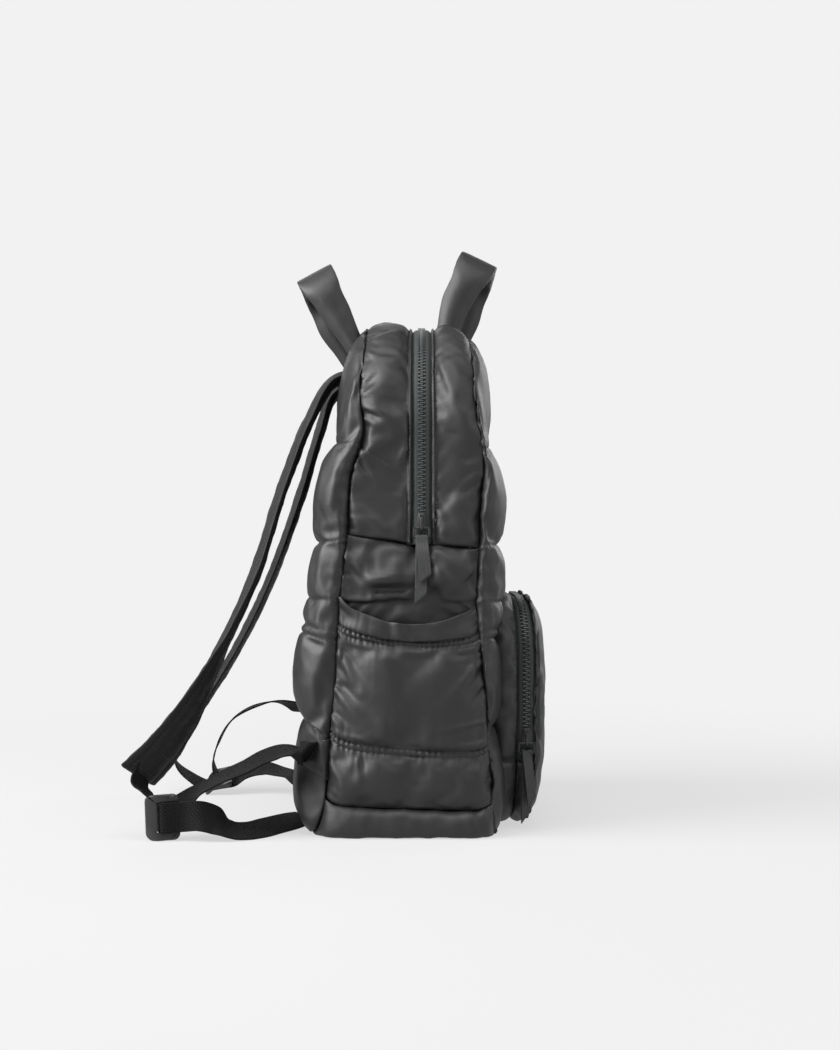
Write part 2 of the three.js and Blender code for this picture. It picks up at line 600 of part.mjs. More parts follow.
// The lower webbing of a strap: from the tab at the side seam to the buckle, round its middle bar and back
// to a free end.
const LEFT_WEBBING = [
  { at: [-139.1, 87.6, 69.5], across: [0.45, -0.2, 0.85] },
  { at: [-138.8, 92, 70.8], across: [0.6, -0.15, 0.75] },
  { at: [-140, 106, 69.5], across: [0.85, -0.05, 0.5] },
  { at: [-146, 130, 58.5], across: [0.87, 0.1, 0.5] },
  { at: [-154, 158, 46], across: [0.9, 0.1, 0.4] },
  { at: [-166, 169, 35], across: [0.4, 0.1, 0.9] },
  { at: LEFT_BUCKLE.point(16, 7.2), across: LEFT_BUCKLE.width },
  ...roundBar(LEFT_BUCKLE, 0, BUCKLE.turn, 90, 270),
  { at: LEFT_BUCKLE.point(15, -6), across: LEFT_BUCKLE.width },
  { at: [-154, 167, 20], across: [0.25, 0.05, 0.95] },
  { at: [-154, 148, 15], across: [0.5, 0.15, 0.85] },
  { at: [-146, 131, 8.5], across: [0.75, 0.5, 0.55] },
  { at: [-120, 114, 5.5], across: [0.55, 0.9, 0.35] },
  { at: [-86, 105, 4.5], across: [0.3, 1, 0.25] },
  { at: [-56, 101, 3], across: [0.15, 1, 0.1] },
];
const RIGHT_WEBBING = [
  { at: [139.1, 87.6, 69.5], across: [-0.45, -0.2, 0.85] },
  { at: [138.8, 92, 72], across: [-0.4, -0.2, 0.85] },
  { at: [138, 107, 81], across: [-0.85, -0.05, 0.5] },
  { at: [133, 126, 87], across: [-1, -0.1, 0.15] },
  { at: [125, 148, 83], across: [-1, -0.1, 0] },
  { at: [116, 170, 70], across: [-1, 0, 0] },
  { at: [109, 182, 50], across: [-1, 0, 0] },
  { at: [105, 187, 32], across: [-1, -0.1, -0.2] },
  ...roundBar(RIGHT_BUCKLE, 0, BUCKLE.turn, 150, 270).map(reversed),
  reversed({ at: RIGHT_BUCKLE.point(14, -5), across: RIGHT_BUCKLE.width }),
  { at: [103, 153, 20], across: [-1, -0.1, -0.3] },
  { at: [103, 139, 24], across: [-1, 0, -0.1] },
  { at: [97, 122, 20], across: [-1, -0.3, -0.1] },
  { at: [84, 110, 10], across: [-0.8, -0.8, -0.05] },
  { at: [62, 102, 4], across: [-0.3, -1, 0] },
];

// The short loops that hold the buckles to the lower ends of the straps, down to the buckles' back bars.
const LEFT_LOOP = [
  { at: [-147.6, 224.6, 50.4], across: [-0.7, 0.7, 0.4] },
  { at: [-150.5, 228.5, 43], across: [-0.72, 0.5, 0.55] },
  { at: [-156, 229.5, 34], across: [-0.75, -0.1, 0.6] },
  { at: [-162, 226.5, 26], across: [-0.4, -0.35, 0.85] },
];
const RIGHT_LOOP = [
  { at: [108.2, 225, 35.6], across: [1, 0.2, 0.1] },
  { at: [108.4, 224.4, 30], across: [1, 0.2, 0.15] },
  { at: [107, 216, 20], across: [1, 0.15, 0.25] },
];

function strapLoop(rows, frame) {
  const barAt = (BUCKLE.backBar[0] + BUCKLE.backBar[1]) / 2;
  const turn = BUCKLE.loopTurn;
  const leads = [BUCKLE.back - 6, barAt - 4, barAt + 1];
  const under = leads.map((u) => ({ at: frame.point(u, -turn), across: frame.width }));
  const around = roundBar(frame, barAt + 2, turn, 270, 450).slice(1);
  const over = { at: frame.point(barAt - 4, turn), across: frame.width };
  return strip([...rows, ...under, ...around, over], { thickness: WEBBING.thickness, sections: 34 });
}

// Triangular tabs that anchor the webbing in the side seams.
function anchorTab(sign, ...cutters) {
  const seamZ = 60;
  const rows = [
    { at: [sign * 142.5, backSeam(seamZ) + 2.3, seamZ], across: [0, -0.06, 1], width: 38 },
    { at: [sign * 141.5, backSeam(seamZ) + 12, seamZ + 4], across: [0, -0.2, 1], width: 33 },
    { at: [sign * 139.5, 86, 68.8], across: [sign * -0.45, -0.2, 0.85], width: 27 },
  ];
  return trimmed(strip(rows, { thickness: 2.6, sections: 5, columns: 3 }), ...cutters);
}

// Zip sliders with a loop for the ribbon, and the ribbons themselves

const SLIDER_Z = 266;
const POCKET_SLIDER_Z = 80;
const SLIDER = { halfWidth: 5, length: 13, reach: 8.1, base: -1.6, thickness: 2.6 };
// The frame that hangs from a slider for its ribbon, from its top down to its lower bar.
const PULL = { halfWidth: 7.4, top: -4.5, bottom: -14.5, rim: 1.8, rise: 0.6, thickness: 1.6 };

// The slider in its own frame: a tapered plate, and the frame for the ribbon joined to its lower end.
function slider(matrix) {
  const { halfWidth, length, reach, base: foot, thickness } = SLIDER;
  const plate = new THREE.Shape();
  plate.moveTo(-halfWidth, length / 2);
  plate.lineTo(-0.62 * halfWidth, -length / 2);
  plate.lineTo(0.62 * halfWidth, -length / 2);
  plate.lineTo(halfWidth, length / 2);
  plate.lineTo(0.4 * halfWidth, reach);
  plate.lineTo(-0.4 * halfWidth, reach);
  const body = new THREE.ExtrudeGeometry(plate, { depth: thickness, bevelEnabled: false });
  body.translate(0, 0, foot);
  const rectangle = (Kind, inset) => {
    const outline = new Kind();
    outline.moveTo(inset - PULL.halfWidth, PULL.bottom + inset);
    outline.lineTo(PULL.halfWidth - inset, PULL.bottom + inset);
    outline.lineTo(PULL.halfWidth - inset, PULL.top - inset);
    outline.lineTo(inset - PULL.halfWidth, PULL.top - inset);
    return outline;
  };
  const rim = rectangle(THREE.Shape, 0);
  rim.holes.push(rectangle(THREE.Path, PULL.rim));
  const pull = new THREE.ExtrudeGeometry(rim, { depth: PULL.thickness, bevelEnabled: false });
  pull.translate(0, 0, PULL.rise);
  return solidOf(body).add(solidOf(pull)).transform(matrix.elements);
}

// Places down a ribbon's tail where its distance from the bag is given.
const TAIL_SHARES = [0.12, 0.3, 0.55, 1];

// A ribbon round the lower bar of a slider's frame: a short tail in front and a longer one behind it.
function ribbon(matrix, frontTail, backTail) {
  const bar = { along: PULL.bottom + PULL.rim / 2, rise: PULL.rise + PULL.thickness / 2 };
  const turn = 2;
  const place = (across, along, rise) => vec(across, along, rise).applyMatrix4(matrix).toArray();
  const wide = vec(1, 0, 0).transformDirection(matrix).toArray();
  const top = steps(4, 0, 180).map((degrees) => {
    const angle = degToRad(degrees);
    return { at: place(0, bar.along + turn * Math.sin(angle), bar.rise + turn * Math.cos(angle)), across: wide };
  });
  const tail = ({ across, drop, rises }) => rises.map((rise, i) => {
    const share = TAIL_SHARES[i];
    return { at: place(across * share, bar.along - drop * share, rise), across: wide };
  });
  const rows = [...tail(frontTail).reverse(), ...top, ...tail(backTail)];
  return strip(rows.map((row) => ({ ...row, width: RIBBON.width })), { thickness: RIBBON.thickness, sections: 18 });
}

const RIBBON_TAILS = {
  front: { across: 5, drop: 36, rises: [4.5, 8, 9.6, 10.4] },
  back: { across: -4, drop: 56, rises: [1.8, 6.2, 8, 9.4] },
};
const POCKET_RIBBON_TAILS = {
  front: { across: 8, drop: 40, rises: [5, 6.5, 7, 7] },
  back: { across: -3, drop: 55, rises: [3.2, 4.4, 4.8, 4.8] },
};

// Where a slider sits: on a zip at the left side of the bag, its length upright.
const onLeftSide = (y, z, x) => new THREE.Matrix4()
  .makeBasis(vec(0, -1, 0), vec(0, 0, 1), vec(-1, 0, 0)).setPosition(x, y, z);

// The assembly

const backCutter = panel("back", TRIM_GAP);
const frontCutter = panel("front", TRIM_GAP);
const backGussetCutter = gussetHalf("back", TRIM_GAP);
const frontGussetCutter = gussetHalf("front", TRIM_GAP);

add("back_panel", panel("back"), NYLON);
add("front_panel", panel("front"), NYLON);
add("gusset_back", gussetHalf("back"), NYLON);
add("gusset_front", gussetHalf("front"), NYLON);
mainZip();
add("base", base(), NYLON);
for (const [name, sign] of [["left", -1], ["right", 1]]) {
  add("side_panel_" + name, sidePanel(sign), NYLON);
  add("slip_pocket_" + name, slipPocket(sign), NYLON);
  add("anchor_tab_" + name, anchorTab(sign, backCutter), NYLON);
}
frontPocket(frontCutter);

add("handle_back", trimmed(handle(43.5, 423.5, 29), backCutter, backGussetCutter), NYLON);
add("handle_front", trimmed(handle(-47, 433, -17.5), frontCutter, frontGussetCutter), NYLON);

add("strap_left", trimmed(strip(LEFT_STRAP, STRAP_SHAPE), backCutter), NYLON);
add("strap_right", trimmed(strip(RIGHT_STRAP, STRAP_SHAPE), backCutter), NYLON);
const web = { thickness: WEBBING.thickness, sections: 40 };
add("webbing_left", strip(LEFT_WEBBING, web), WEAVE);
add("webbing_right", strip(RIGHT_WEBBING, web), WEAVE);
add("strap_loop_left", strapLoop(LEFT_LOOP, LEFT_BUCKLE), WEAVE);
add("strap_loop_right", strapLoop(RIGHT_LOOP, RIGHT_BUCKLE), WEAVE);
add("buckle_left", buckle(LEFT_BUCKLE), MOULDED);
add("buckle_right", buckle(RIGHT_BUCKLE), MOULDED);

const sliderAt = onLeftSide(ZIP.y, SLIDER_Z, -OUTLINE.halfWidth);
add("zip_slider", slider(sliderAt), MOULDED);
add("zip_ribbon", ribbon(sliderAt, RIBBON_TAILS.front, RIBBON_TAILS.back), WEAVE);
const pocketZipY = (FRONT_POCKET.zipBack + FRONT_POCKET.zipFront) / 2;
const pocketSliderAt = onLeftSide(pocketZipY, POCKET_SLIDER_Z, -FRONT_POCKET.halfWidth);
add("pocket_zip_slider", slider(pocketSliderAt), MOULDED);
add("pocket_zip_ribbon", ribbon(pocketSliderAt, POCKET_RIBBON_TAILS.front, POCKET_RIBBON_TAILS.back), WEAVE);

export default backpack;
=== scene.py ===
"""Dresses the frame of a quilted backpack: padded nylon, stitching, webbing, zips and moulded fittings."""
import math
from collections import namedtuple

import bmesh
import bpy
import numpy as np
from bpy.props import FloatProperty, FloatVectorProperty, PointerProperty
from mathutils import Matrix, Vector, noise
from mathutils.bvhtree import BVHTree


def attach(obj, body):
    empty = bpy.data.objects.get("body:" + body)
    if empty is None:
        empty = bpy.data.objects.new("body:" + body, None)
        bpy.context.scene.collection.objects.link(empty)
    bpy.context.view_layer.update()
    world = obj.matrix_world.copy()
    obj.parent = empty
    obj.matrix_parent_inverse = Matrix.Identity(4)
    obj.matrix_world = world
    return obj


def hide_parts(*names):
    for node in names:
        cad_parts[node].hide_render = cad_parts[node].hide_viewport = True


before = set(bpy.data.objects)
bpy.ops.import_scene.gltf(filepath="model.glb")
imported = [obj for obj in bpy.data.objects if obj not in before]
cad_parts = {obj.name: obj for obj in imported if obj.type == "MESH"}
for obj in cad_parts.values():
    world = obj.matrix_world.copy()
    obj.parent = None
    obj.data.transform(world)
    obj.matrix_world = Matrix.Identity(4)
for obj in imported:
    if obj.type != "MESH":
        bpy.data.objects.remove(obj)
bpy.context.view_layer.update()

bl_info = {
    "name": "Quilted Backpack",
    "version": (1, 0, 0),
    "blender": (4, 5, 0),
    "location": "View3D > Sidebar > Backpack",
    "description": "Dresses the backpack's frame in padded nylon, webbing, zips and moulded fittings",
    "category": "Object",
}

MM = 0.001
BODY = "root"
LOOK = "_look"

# The body, in millimetres, as the frame has it

HALF_WIDTH = 143
HEIGHT = 439
TOP_CORNER = 95
BOTTOM_CORNER = 18
GAP = 0.3
SEAM_INSET = 2.5
SIDE_WRAP = 30
TOP_WRAP = 78
BASE_SEAM_Z = 24
FLARE_HEIGHT = 34
MOUTH_Z = 197
ZIP_END_Z = 246
MIDDLE = Vector((0, 0, 200))

# Quilted puffs from the floor up: the stitch line on top, its depth, and the bulge behind and in front.
Puff = namedtuple("Puff", "top groove back front")
PUFFS = [
    Puff(92, 8, 26, 9),
    Puff(166.5, 5, 37, 10),
    Puff(173.5, 4.5, 35, 12),
    Puff(198, 4, 32.5, 15),
    Puff(ZIP_END_Z, 8, 31, 20),
    Puff(329, 9, 31, 20.5),
    Puff(HEIGHT - SEAM_INSET, 0, 18, 15),
]

# The main zip
ZIP_Y = -17.5
ZIP_HALF_WIDTH = 8
TAPE_TOP = -1.7
TAPE_THICKNESS = 1.2

# The front pocket
POCKET_HALF_WIDTH = 108
POCKET_BOTTOM = 6
POCKET_TOP = 200
POCKET_TOP_CORNER = 58
POCKET_BOTTOM_CORNER = 30
POCKET_ROOT = -76
POCKET_ZIP_BACK = -100
POCKET_ZIP_FRONT = -116
POCKET_BULGE = 6
POCKET_ZIP_END = 59


# Small helpers


def lerp(a, b, t):
    """The value a share t of the way from a to b."""
    return a + (b - a) * t


def clamp(t, low=0.0, high=1.0):
    """t, kept between low and high."""
    return max(low, min(high, t))


def swell(t):
    """A rounded swell: 0 at both ends, 1 in the middle."""
    return max(0.0, 1 - (2 * clamp(t) - 1) ** 2) ** 0.6


def rounded(t):
    """A quarter round: 0 at an edge, 1 from one radius inwards."""
    return math.sqrt(1 - (1 - clamp(t)) ** 2)


def slab(t):
    """A flat swell: 0 at both ends, with rounded shoulders."""
    return rounded(min(t, 1 - t) / 0.16)


def bump(z, middle, width):
    """A soft bump: 1 in its middle, nearly gone two widths away."""
    return math.exp(-(((z - middle) / width) ** 2))


def wander(z, seed, reach):
    """A slow sideways wander of a seam on its way up."""
    return reach * noise.noise(Vector((z * 0.022, seed, 0.3)))


def flare(z):
    """How far a seam has turned outwards on its way down to the floor, from 0 to 1."""
    return clamp((FLARE_HEIGHT - z) / FLARE_HEIGHT) ** 2


def back_line(z):
    """Depth of the back panel's straight edge."""
    return 66 - 0.0712 * z - 0.000025 * z * z + 8 * flare(z)


def back_seam(z):
    """Depth of the seam between the gusset and the back panel, which is drawn in below the shoulder."""
    return back_line(z) + wander(z, 1.7, 2.0) - 8 * bump(z, 343, 26)


def front_line(z):
    """Depth of the front panel's straight edge."""
    return -78 + 0.03 * z + 0.00003 * z * z - 3 * flare(z)


def front_seam(z):
    """Depth of the seam between the gusset and the front panel, drawn in at the slip pocket's mouth."""
    return front_line(z) + wander(z, 5.2, 1.5) + 6.8 * bump(z, 185, 70) - 5 * bump(z, 325, 32)


def seam_depth(z):
    """How deep the side seams are drawn in at a height: most between the full puffs of the upper part."""
    return SEAM_INSET + 3.5 * bump(z, 285, 50)


def overhang(z):
    """How far a panel swells past its seam at a height: most beside the full puffs of the upper part."""
    return 4 + 5 * bump(z, 285, 50)


def base_seam(t):
    """Height of the seam round the base at a share of the bag's depth: higher behind and at the corners."""
    return BASE_SEAM_Z - 2.5 + 5 * t + 6 * clamp((abs(2 * t - 1) - 0.78) / 0.22) ** 2


def parts(count):
    """Shares from 0 to 1 with a count of equal steps between them."""
    return [k / count for k in range(count + 1)]


def crowded(start, end, step, crowd=0.6):
    """Values from start to end about a step apart, closer together towards both ends."""
    count = max(2, round(abs(end - start) / step))
    return [lerp(start, end, lerp(t, 0.5 - 0.5 * math.cos(math.pi * t), crowd)) for t in parts(count)]


def through(stops, step, crowd=0.6):
    """Crowded values through several stops, each stop once."""
    values = [stops[0]]
    for start, end in zip(stops, stops[1:]):
        values += crowded(start, end, step, crowd)[1:]
    return values


def nearest(values, wanted):
    """Index of the value that lies nearest to the one wanted."""
    return min(range(len(values)), key=lambda k: abs(values[k] - wanted))


# Sheets of fabric


def grid_of(columns, rows, place):
    """A grid whose points place(column, row) gives in millimetres."""
    wide = len(columns)
    bm = bmesh.new()
    bmesh.ops.create_grid(bm, x_segments=wide - 1, y_segments=len(rows) - 1, size=0.5)
    for vert in bm.verts:
        vert.co = Vector(place(columns[vert.index % wide], rows[vert.index // wide])) * MM
    return bm


class Sheet:
    """A sheet of fabric on a grid, whose points place(column, row) gives in millimetres."""

    def __init__(self, name, columns, rows, place, inside=MIDDLE):
        self.columns = list(columns)
        self.rows = list(rows)
        wide = len(self.columns)
        bm = grid_of(self.columns, self.rows, place)
        bm.normal_update()
        lean = sum(face.normal.dot(face.calc_center_median() - inside * MM) for face in bm.faces)
        if lean < 0:
            bmesh.ops.reverse_faces(bm, faces=bm.faces)
        self.piece = object_from(name, bm, keep=True)
        points = self.points()
        self.across = lengths_along(points[len(self.rows) // 2])
        self.up = lengths_along(points[:, wide // 2])
        layer = bm.loops.layers.uv.new("cut")
        for face in bm.faces:
            for loop in face.loops:
                at = loop.vert.index
                loop[layer].uv = (self.across[at % wide], self.up[at // wide])
        bm.to_mesh(self.piece.data)
        bm.free()

    def points(self):
        """The grid's points as an array of rows."""
        return coordinates(self.piece.data).reshape(len(self.rows), len(self.columns), 3)

    def row(self, z):
        """The points of the row nearest to a value."""
        return [Vector(p) for p in self.points()[nearest(self.rows, z)]]

    def column(self, at):
        """The points of the column nearest to a value."""
        return [Vector(p) for p in self.points()[:, nearest(self.columns, at)]]

    def settle(self, look, rows=(), columns=(), cap=6.0, open_top=False, slack=1.0):
        """Lets the fabric puff and wrinkle between the rows and columns that are sewn down."""
        wide, high = len(self.columns), len(self.rows)
        held_rows = {0, *(nearest(self.rows, z) for z in rows)}
        if not open_top:
            held_rows.add(high - 1)
        held_columns = {0, wide - 1, *(nearest(self.columns, at) for at in columns)}
        grid = [(i, j) for j in range(high) for i in range(wide)]
        sewn = [j * wide + i for i, j in grid if j in held_rows or i in held_columns]
        start = coordinates(self.piece.data)
        simulate(self.piece, sewn, look.slack * slack, look.pressure)
        shift = coordinates(self.piece.data) - start
        far = np.linalg.norm(shift, axis=1)
        kept = cap * MM * np.tanh(far / (cap * MM)) / np.maximum(far, 1e-9)
        place_points(self.piece.data, start + shift * kept[:, None])

    def smoothed(self, levels):
        """The piece, with its grid made finer and rounder."""
        finer = self.piece.modifiers.new("Finer", "SUBSURF")
        finer.levels = levels
        finer.render_levels = levels
        finer.boundary_smooth = "PRESERVE_CORNERS"
        apply_modifiers(self.piece)
        return self.piece


def lengths_along(points):
    """Distances of points along their own line."""
    return np.concatenate([[0.0], np.cumsum(np.linalg.norm(np.diff(points, axis=0), axis=1))])


def coordinates(mesh):
    """A mesh's points as an array."""
    flat = np.empty(len(mesh.vertices) * 3, np.float32)
    mesh.vertices.foreach_get("co", flat)
    return flat.reshape(-1, 3).astype(float)


def place_points(mesh, points):
    """Puts a mesh's points where an array says."""
    mesh.vertices.foreach_set("co", points.astype(np.float32).ravel())
    mesh.update()


def object_from(name, bm, keep=False):
    """A new object in the scene from a bmesh."""
    mesh = bpy.data.meshes.new(name + LOOK)
    bm.to_mesh(mesh)
    if not keep:
        bm.free()
    piece = bpy.data.objects.new(name + LOOK, mesh)
    bpy.context.scene.collection.objects.link(piece)
    return piece


def apply_modifiers(piece):
    """Makes what a piece's modifiers give its own mesh."""
    bpy.context.view_layer.update()
    graph = bpy.context.evaluated_depsgraph_get()
    made = bpy.data.meshes.new_from_object(piece.evaluated_get(graph))
    was = piece.data
    piece.modifiers.clear()
    piece.data = made
    bpy.data.meshes.remove(was)
    made.name = piece.name


SIM_FRAMES = 16


def simulate(piece, sewn, slack, pressure):
    """Runs the fabric with some slack and air under it, and keeps the result."""
    piece.vertex_groups.new(name="sewn").add(sewn, 1.0, "REPLACE")
    cloth = piece.modifiers.new("Puff", "CLOTH")
    settings = cloth.settings
    settings.quality = 5
    settings.mass = 0.15
    settings.air_damping = 1.0
    settings.tension_stiffness = 15
    settings.compression_stiffness = 15
    settings.shear_stiffness = 8
    settings.bending_stiffness = 0.1
    settings.use_pressure = True
    settings.uniform_pressure_force = pressure
    settings.shrink_min = -slack
    settings.vertex_group_mass = "sewn"
    settings.effector_weights.gravity = 0
    cloth.collision_settings.use_collision = False
    cloth.point_cache.frame_start = 1
    cloth.point_cache.frame_end = SIM_FRAMES
    scene = bpy.context.scene
    for step in range(1, SIM_FRAMES + 1):
        scene.frame_set(step)
    graph = bpy.context.evaluated_depsgraph_get()
    moved = coordinates(piece.evaluated_get(graph).data)
    piece.modifiers.clear()
    piece.vertex_groups.clear()
    scene.frame_set(1)
    place_points(piece.data, moved)


def vertex_cuts(mesh):
    """Where each point lies on the cut of its fabric, in metres."""
    corners = np.empty(len(mesh.loops), np.int32)
    mesh.loops.foreach_get("vertex_index", corners)
    flat = np.empty(len(mesh.loops) * 2, np.float32)
    mesh.uv_layers["cut"].data.foreach_get("uv", flat)
    cuts = np.zeros((len(mesh.vertices), 2))
    cuts[corners] = flat.reshape(-1, 2)
    return cuts


def vertex_normals(mesh):
    """A mesh's normals as an array."""
    flat = np.empty(len(mesh.vertices) * 3, np.float32)
    mesh.vertex_normals.foreach_get("vector", flat)
    return flat.reshape(-1, 3).astype(float)


# A stitch line on a cut: axis 0 runs up the cut at a place across it, axis 1 runs across it.
# An even one has its folds at even distances, a fine one closer together, and a groove is drawn in on it.
Seam = namedtuple("Seam", "axis at depth even fine groove", defaults=(False, 1.0, 0.0))


def billow(place):
    """Noise with round tops and sharp valleys."""
    return 2 * abs(noise.noise(place)) - 0.35


def gather(piece, seams, look, seed=0.0):
    """Draws the fabric into small uneven folds across its stitch lines, and some longer ones."""
    mesh = piece.data
    cuts = vertex_cuts(mesh)
    rise = np.zeros(len(cuts))
    for number, seam in enumerate(seams):
        off = (cuts[:, seam.axis] - seam.at) / look.pucker_reach / seam.fine ** 0.5
        along = cuts[:, 1 - seam.axis] / look.pucker_pitch / seam.fine
        for k in np.nonzero(np.abs(off) < 14)[0]:
            far = abs(off[k])
            side = 3.1 if off[k] < 0 else 0.0
            lean = 0.22 * far * noise.noise(Vector((along[k] * 0.16, seed, side)))
            place = Vector((along[k] + lean, seed + number * 7.3, side))
            strength = clamp(0.55 + 1.0 * noise.noise(place * 0.2), 0.1, 1.3)
            small = billow(place * 1.1) * (0.4 + far) * math.exp(-0.9 * far)
            if seam.even:
                turn = along[k] + 0.5 * noise.noise(place * 0.4)
                small = 0.5 * math.sin(2 * math.pi * turn) * math.exp(-((far / 1.5) ** 2)) + 0.4 * small
            small -= seam.groove * math.exp(-((far / 0.3) ** 2))
            long = billow(place * 0.4 + Vector((0, 0, 9))) * far / 3 * math.exp(1 - far / 3)
            rise[k] += seam.depth * strength * (1.6 * small + 0.9 * long)
    place_points(mesh, coordinates(mesh) + vertex_normals(mesh) * (rise * MM)[:, None])


# A fold pulled into the fabric at the side, from one point to another, seen along X.
Fold = namedtuple("Fold", "y0 z0 y1 z1 width height")


def crease(piece, folds):
    """Raises folds on the outside of a piece at both sides of the bag."""
    mesh = piece.data
    points = coordinates(mesh)
    rise = np.zeros(len(points))
    flat = points[:, 1:] / MM
    for fold in folds:
        start = np.array([fold.y0, fold.z0])
        way = np.array([fold.y1, fold.z1]) - start
        share = ((flat - start) @ way) / (way @ way)
        inside = np.clip(share, 0, 1)
        width = fold.width * (0.6 + 0.8 * inside)
        off = (flat - start) @ np.array([-way[1], way[0]]) / np.linalg.norm(way) / width
        taper = np.minimum(1, inside / 0.12) * (1 - inside) ** 0.8
        ridge = np.exp(-(off ** 2)) - 0.6 * np.exp(-((off + 1.4) ** 2))
        rise += fold.height * taper * ridge
    facing = np.abs(vertex_normals(mesh)[:, 0])
    place_points(mesh, points + vertex_normals(mesh) * (rise * facing * MM)[:, None])


def crumple(piece, scale, depth, seed=0.0):
    """Gives the fabric the uneven surface of a lightly filled cover."""
    mesh = piece.data
    points = coordinates(mesh)
    rise = [noise.fractal(Vector(p) * scale + Vector((seed, 0, 0)), 0.9, 2.1, 3) for p in points]
    place_points(mesh, points + vertex_normals(mesh) * (np.array(rise) * depth * MM)[:, None])


def thicken(piece, thickness, offset=-1.0):
    """Gives a sheet its thickness, in millimetres, inwards unless offset says otherwise."""
    wall = piece.modifiers.new("Wall", "SOLIDIFY")
    wall.thickness = thickness * MM
    wall.offset = offset


def dress(piece, finish, *nodes, slot="nylon", fill=None):
    """Gives a piece its finish and sets it on the frame in place of the frame's own nodes."""
    piece.data.materials.append(finish)
    piece.data.shade_smooth()
    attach(piece, BODY)
    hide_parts(*nodes)
    return piece


def surface_of(piece):
    """A piece's finished surface, to find points on."""
    bpy.context.view_layer.update()
    return BVHTree.FromObject(piece, bpy.context.evaluated_depsgraph_get())


# Stitching


THREAD_HEIGHT = 0.8
THREAD_LIFT = 0.15


def resampled(points, pitch):
    """Places along a line a pitch apart, each with the way that the line runs there."""
    line = np.array([tuple(p) for p in points])
    along = lengths_along(line)
    count = int(along[-1] / pitch)
    wanted = (np.arange(count) + 0.5) * pitch
    spots = np.stack([np.interp(wanted, along, line[:, k]) for k in range(3)], axis=1)
    ahead = np.stack([np.interp(wanted + 0.3 * pitch, along, line[:, k]) for k in range(3)], axis=1)
    return [(Vector(a), (Vector(b) - Vector(a)).normalized()) for a, b in zip(spots, ahead)]


def sew(name, surface, lines, look):
    """Lays stitches of thread along lines on the surface of a piece."""
    tree = surface_of(surface)
    bm = bmesh.new()
    for line in lines:
        for spot, way in resampled(line, look.stitch_pitch):
            found, normal, _, _ = tree.find_nearest(spot)
            if found is None or way.length < 0.5:
                continue
            up = (normal - way * normal.dot(way)).normalized()
            turn = Matrix((way, up.cross(way), up)).transposed().to_4x4()
            size = (look.stitch_length, look.thread_width, look.thread_width * THREAD_HEIGHT)
            place = Matrix.Translation(found + up * look.thread_width * THREAD_LIFT)
            matrix = place @ turn @ Matrix.Diagonal((*size, 1))
            bmesh.ops.create_icosphere(bm, subdivisions=1, radius=0.5, matrix=matrix)
    dress(object_from(name, bm), thread_finish())


WALL = 1.6


def make_cover(sheet, name, look, seams, seed, crumpled, fill, levels=1, folds=(), wall=WALL, lines=()):
    """Makes a settled sheet a padded cover: gathered, folded, crumpled, walled and sewn along its lines."""
    piece = sheet.smoothed(levels)
    gather(piece, seams, look, seed)
    crease(piece, folds)
    crumple(piece, *crumpled)
    thicken(piece, wall)
    dress(piece, cloth_finish("satin_nylon"), name, fill=fill)
    if lines:
        sew(name + "_stitches", piece, lines, look)


# The outline of the body


def half_width_at(z, inset):
    """Half the body's width at a height, drawn in by inset."""
    side = HALF_WIDTH - inset
    top = TOP_CORNER - inset
    bottom = BOTTOM_CORNER - inset
    above = z - (HEIGHT - TOP_CORNER)
    below = BOTTOM_CORNER - z
    if above > 0:
        return side - top + math.sqrt(max(0, top * top - above * above))
    if below > 0:
        return side - bottom + math.sqrt(max(0, bottom * bottom - below * below))
    return side


# A rounded rectangle seen from the front.
Outline = namedtuple("Outline", "half_width bottom top top_corner bottom_corner")


def edge_of(x, z, box):
    """How far a point lies inside a rounded rectangle, and which way its nearest edge faces."""
    upper = z > (box.bottom + box.top) / 2
    corner = box.top_corner if upper else box.bottom_corner
    across = abs(x) - (box.half_width - corner)
    along = z - (box.top - corner) if upper else box.bottom + corner - z
    up = 1 if upper else -1
    if across > 0 and along > 0:
        reach = math.hypot(across, along)
        return corner - reach, (math.copysign(across, x) / reach, up * along / reach)
    if across > along:
        return corner - across, (math.copysign(1, x), 0)
    return corner - along, (0, up)


# A place on the band round the outline, and which way it faces there.
Station = namedtuple("Station", "x z out_x out_z")


def side_station(z, sign):
    """The band's station at a height, at one side."""
    above = z - (HEIGHT - TOP_CORNER)
    below = BOTTOM_CORNER - z
    tilt = above / TOP_CORNER if above > 0 else -below / BOTTOM_CORNER if below > 0 else 0
    return Station(sign * half_width_at(z, 0), z, sign * math.sqrt(1 - tilt * tilt), tilt)


def over_top(z, step):
    """Stations from one side over the top to the other, starting at a height, about a step apart."""
    shoulder = HEIGHT - TOP_CORNER
    side = [side_station(level, -1) for level in crowded(z, shoulder, step, 0.3)]
    turns = round(math.pi / 2 * TOP_CORNER / step)
    corner = []
    for k in range(1, turns + 1):
        turn = math.pi / 2 * k / turns
        out_x, out_z = -math.cos(turn), math.sin(turn)
        x = TOP_CORNER - HALF_WIDTH + out_x * TOP_CORNER
        corner.append(Station(x, shoulder + out_z * TOP_CORNER, out_x, out_z))
    flat_half = HALF_WIDTH - TOP_CORNER
    flat = [Station(x, HEIGHT, 0, 1) for x in crowded(-flat_half, flat_half, step, 0)[1:-1]]
    half = side + corner
    other = [Station(-s.x, s.z, -s.out_x, s.out_z) for s in reversed(half)]
    return half + flat + other


def band_point(station, rise, depth_at):
    """A point of the band, off its outline by rise, at a depth that may follow the height."""
    z = station.z + station.out_z * rise
    return station.x + station.out_x * rise, depth_at(z), z


# Panels


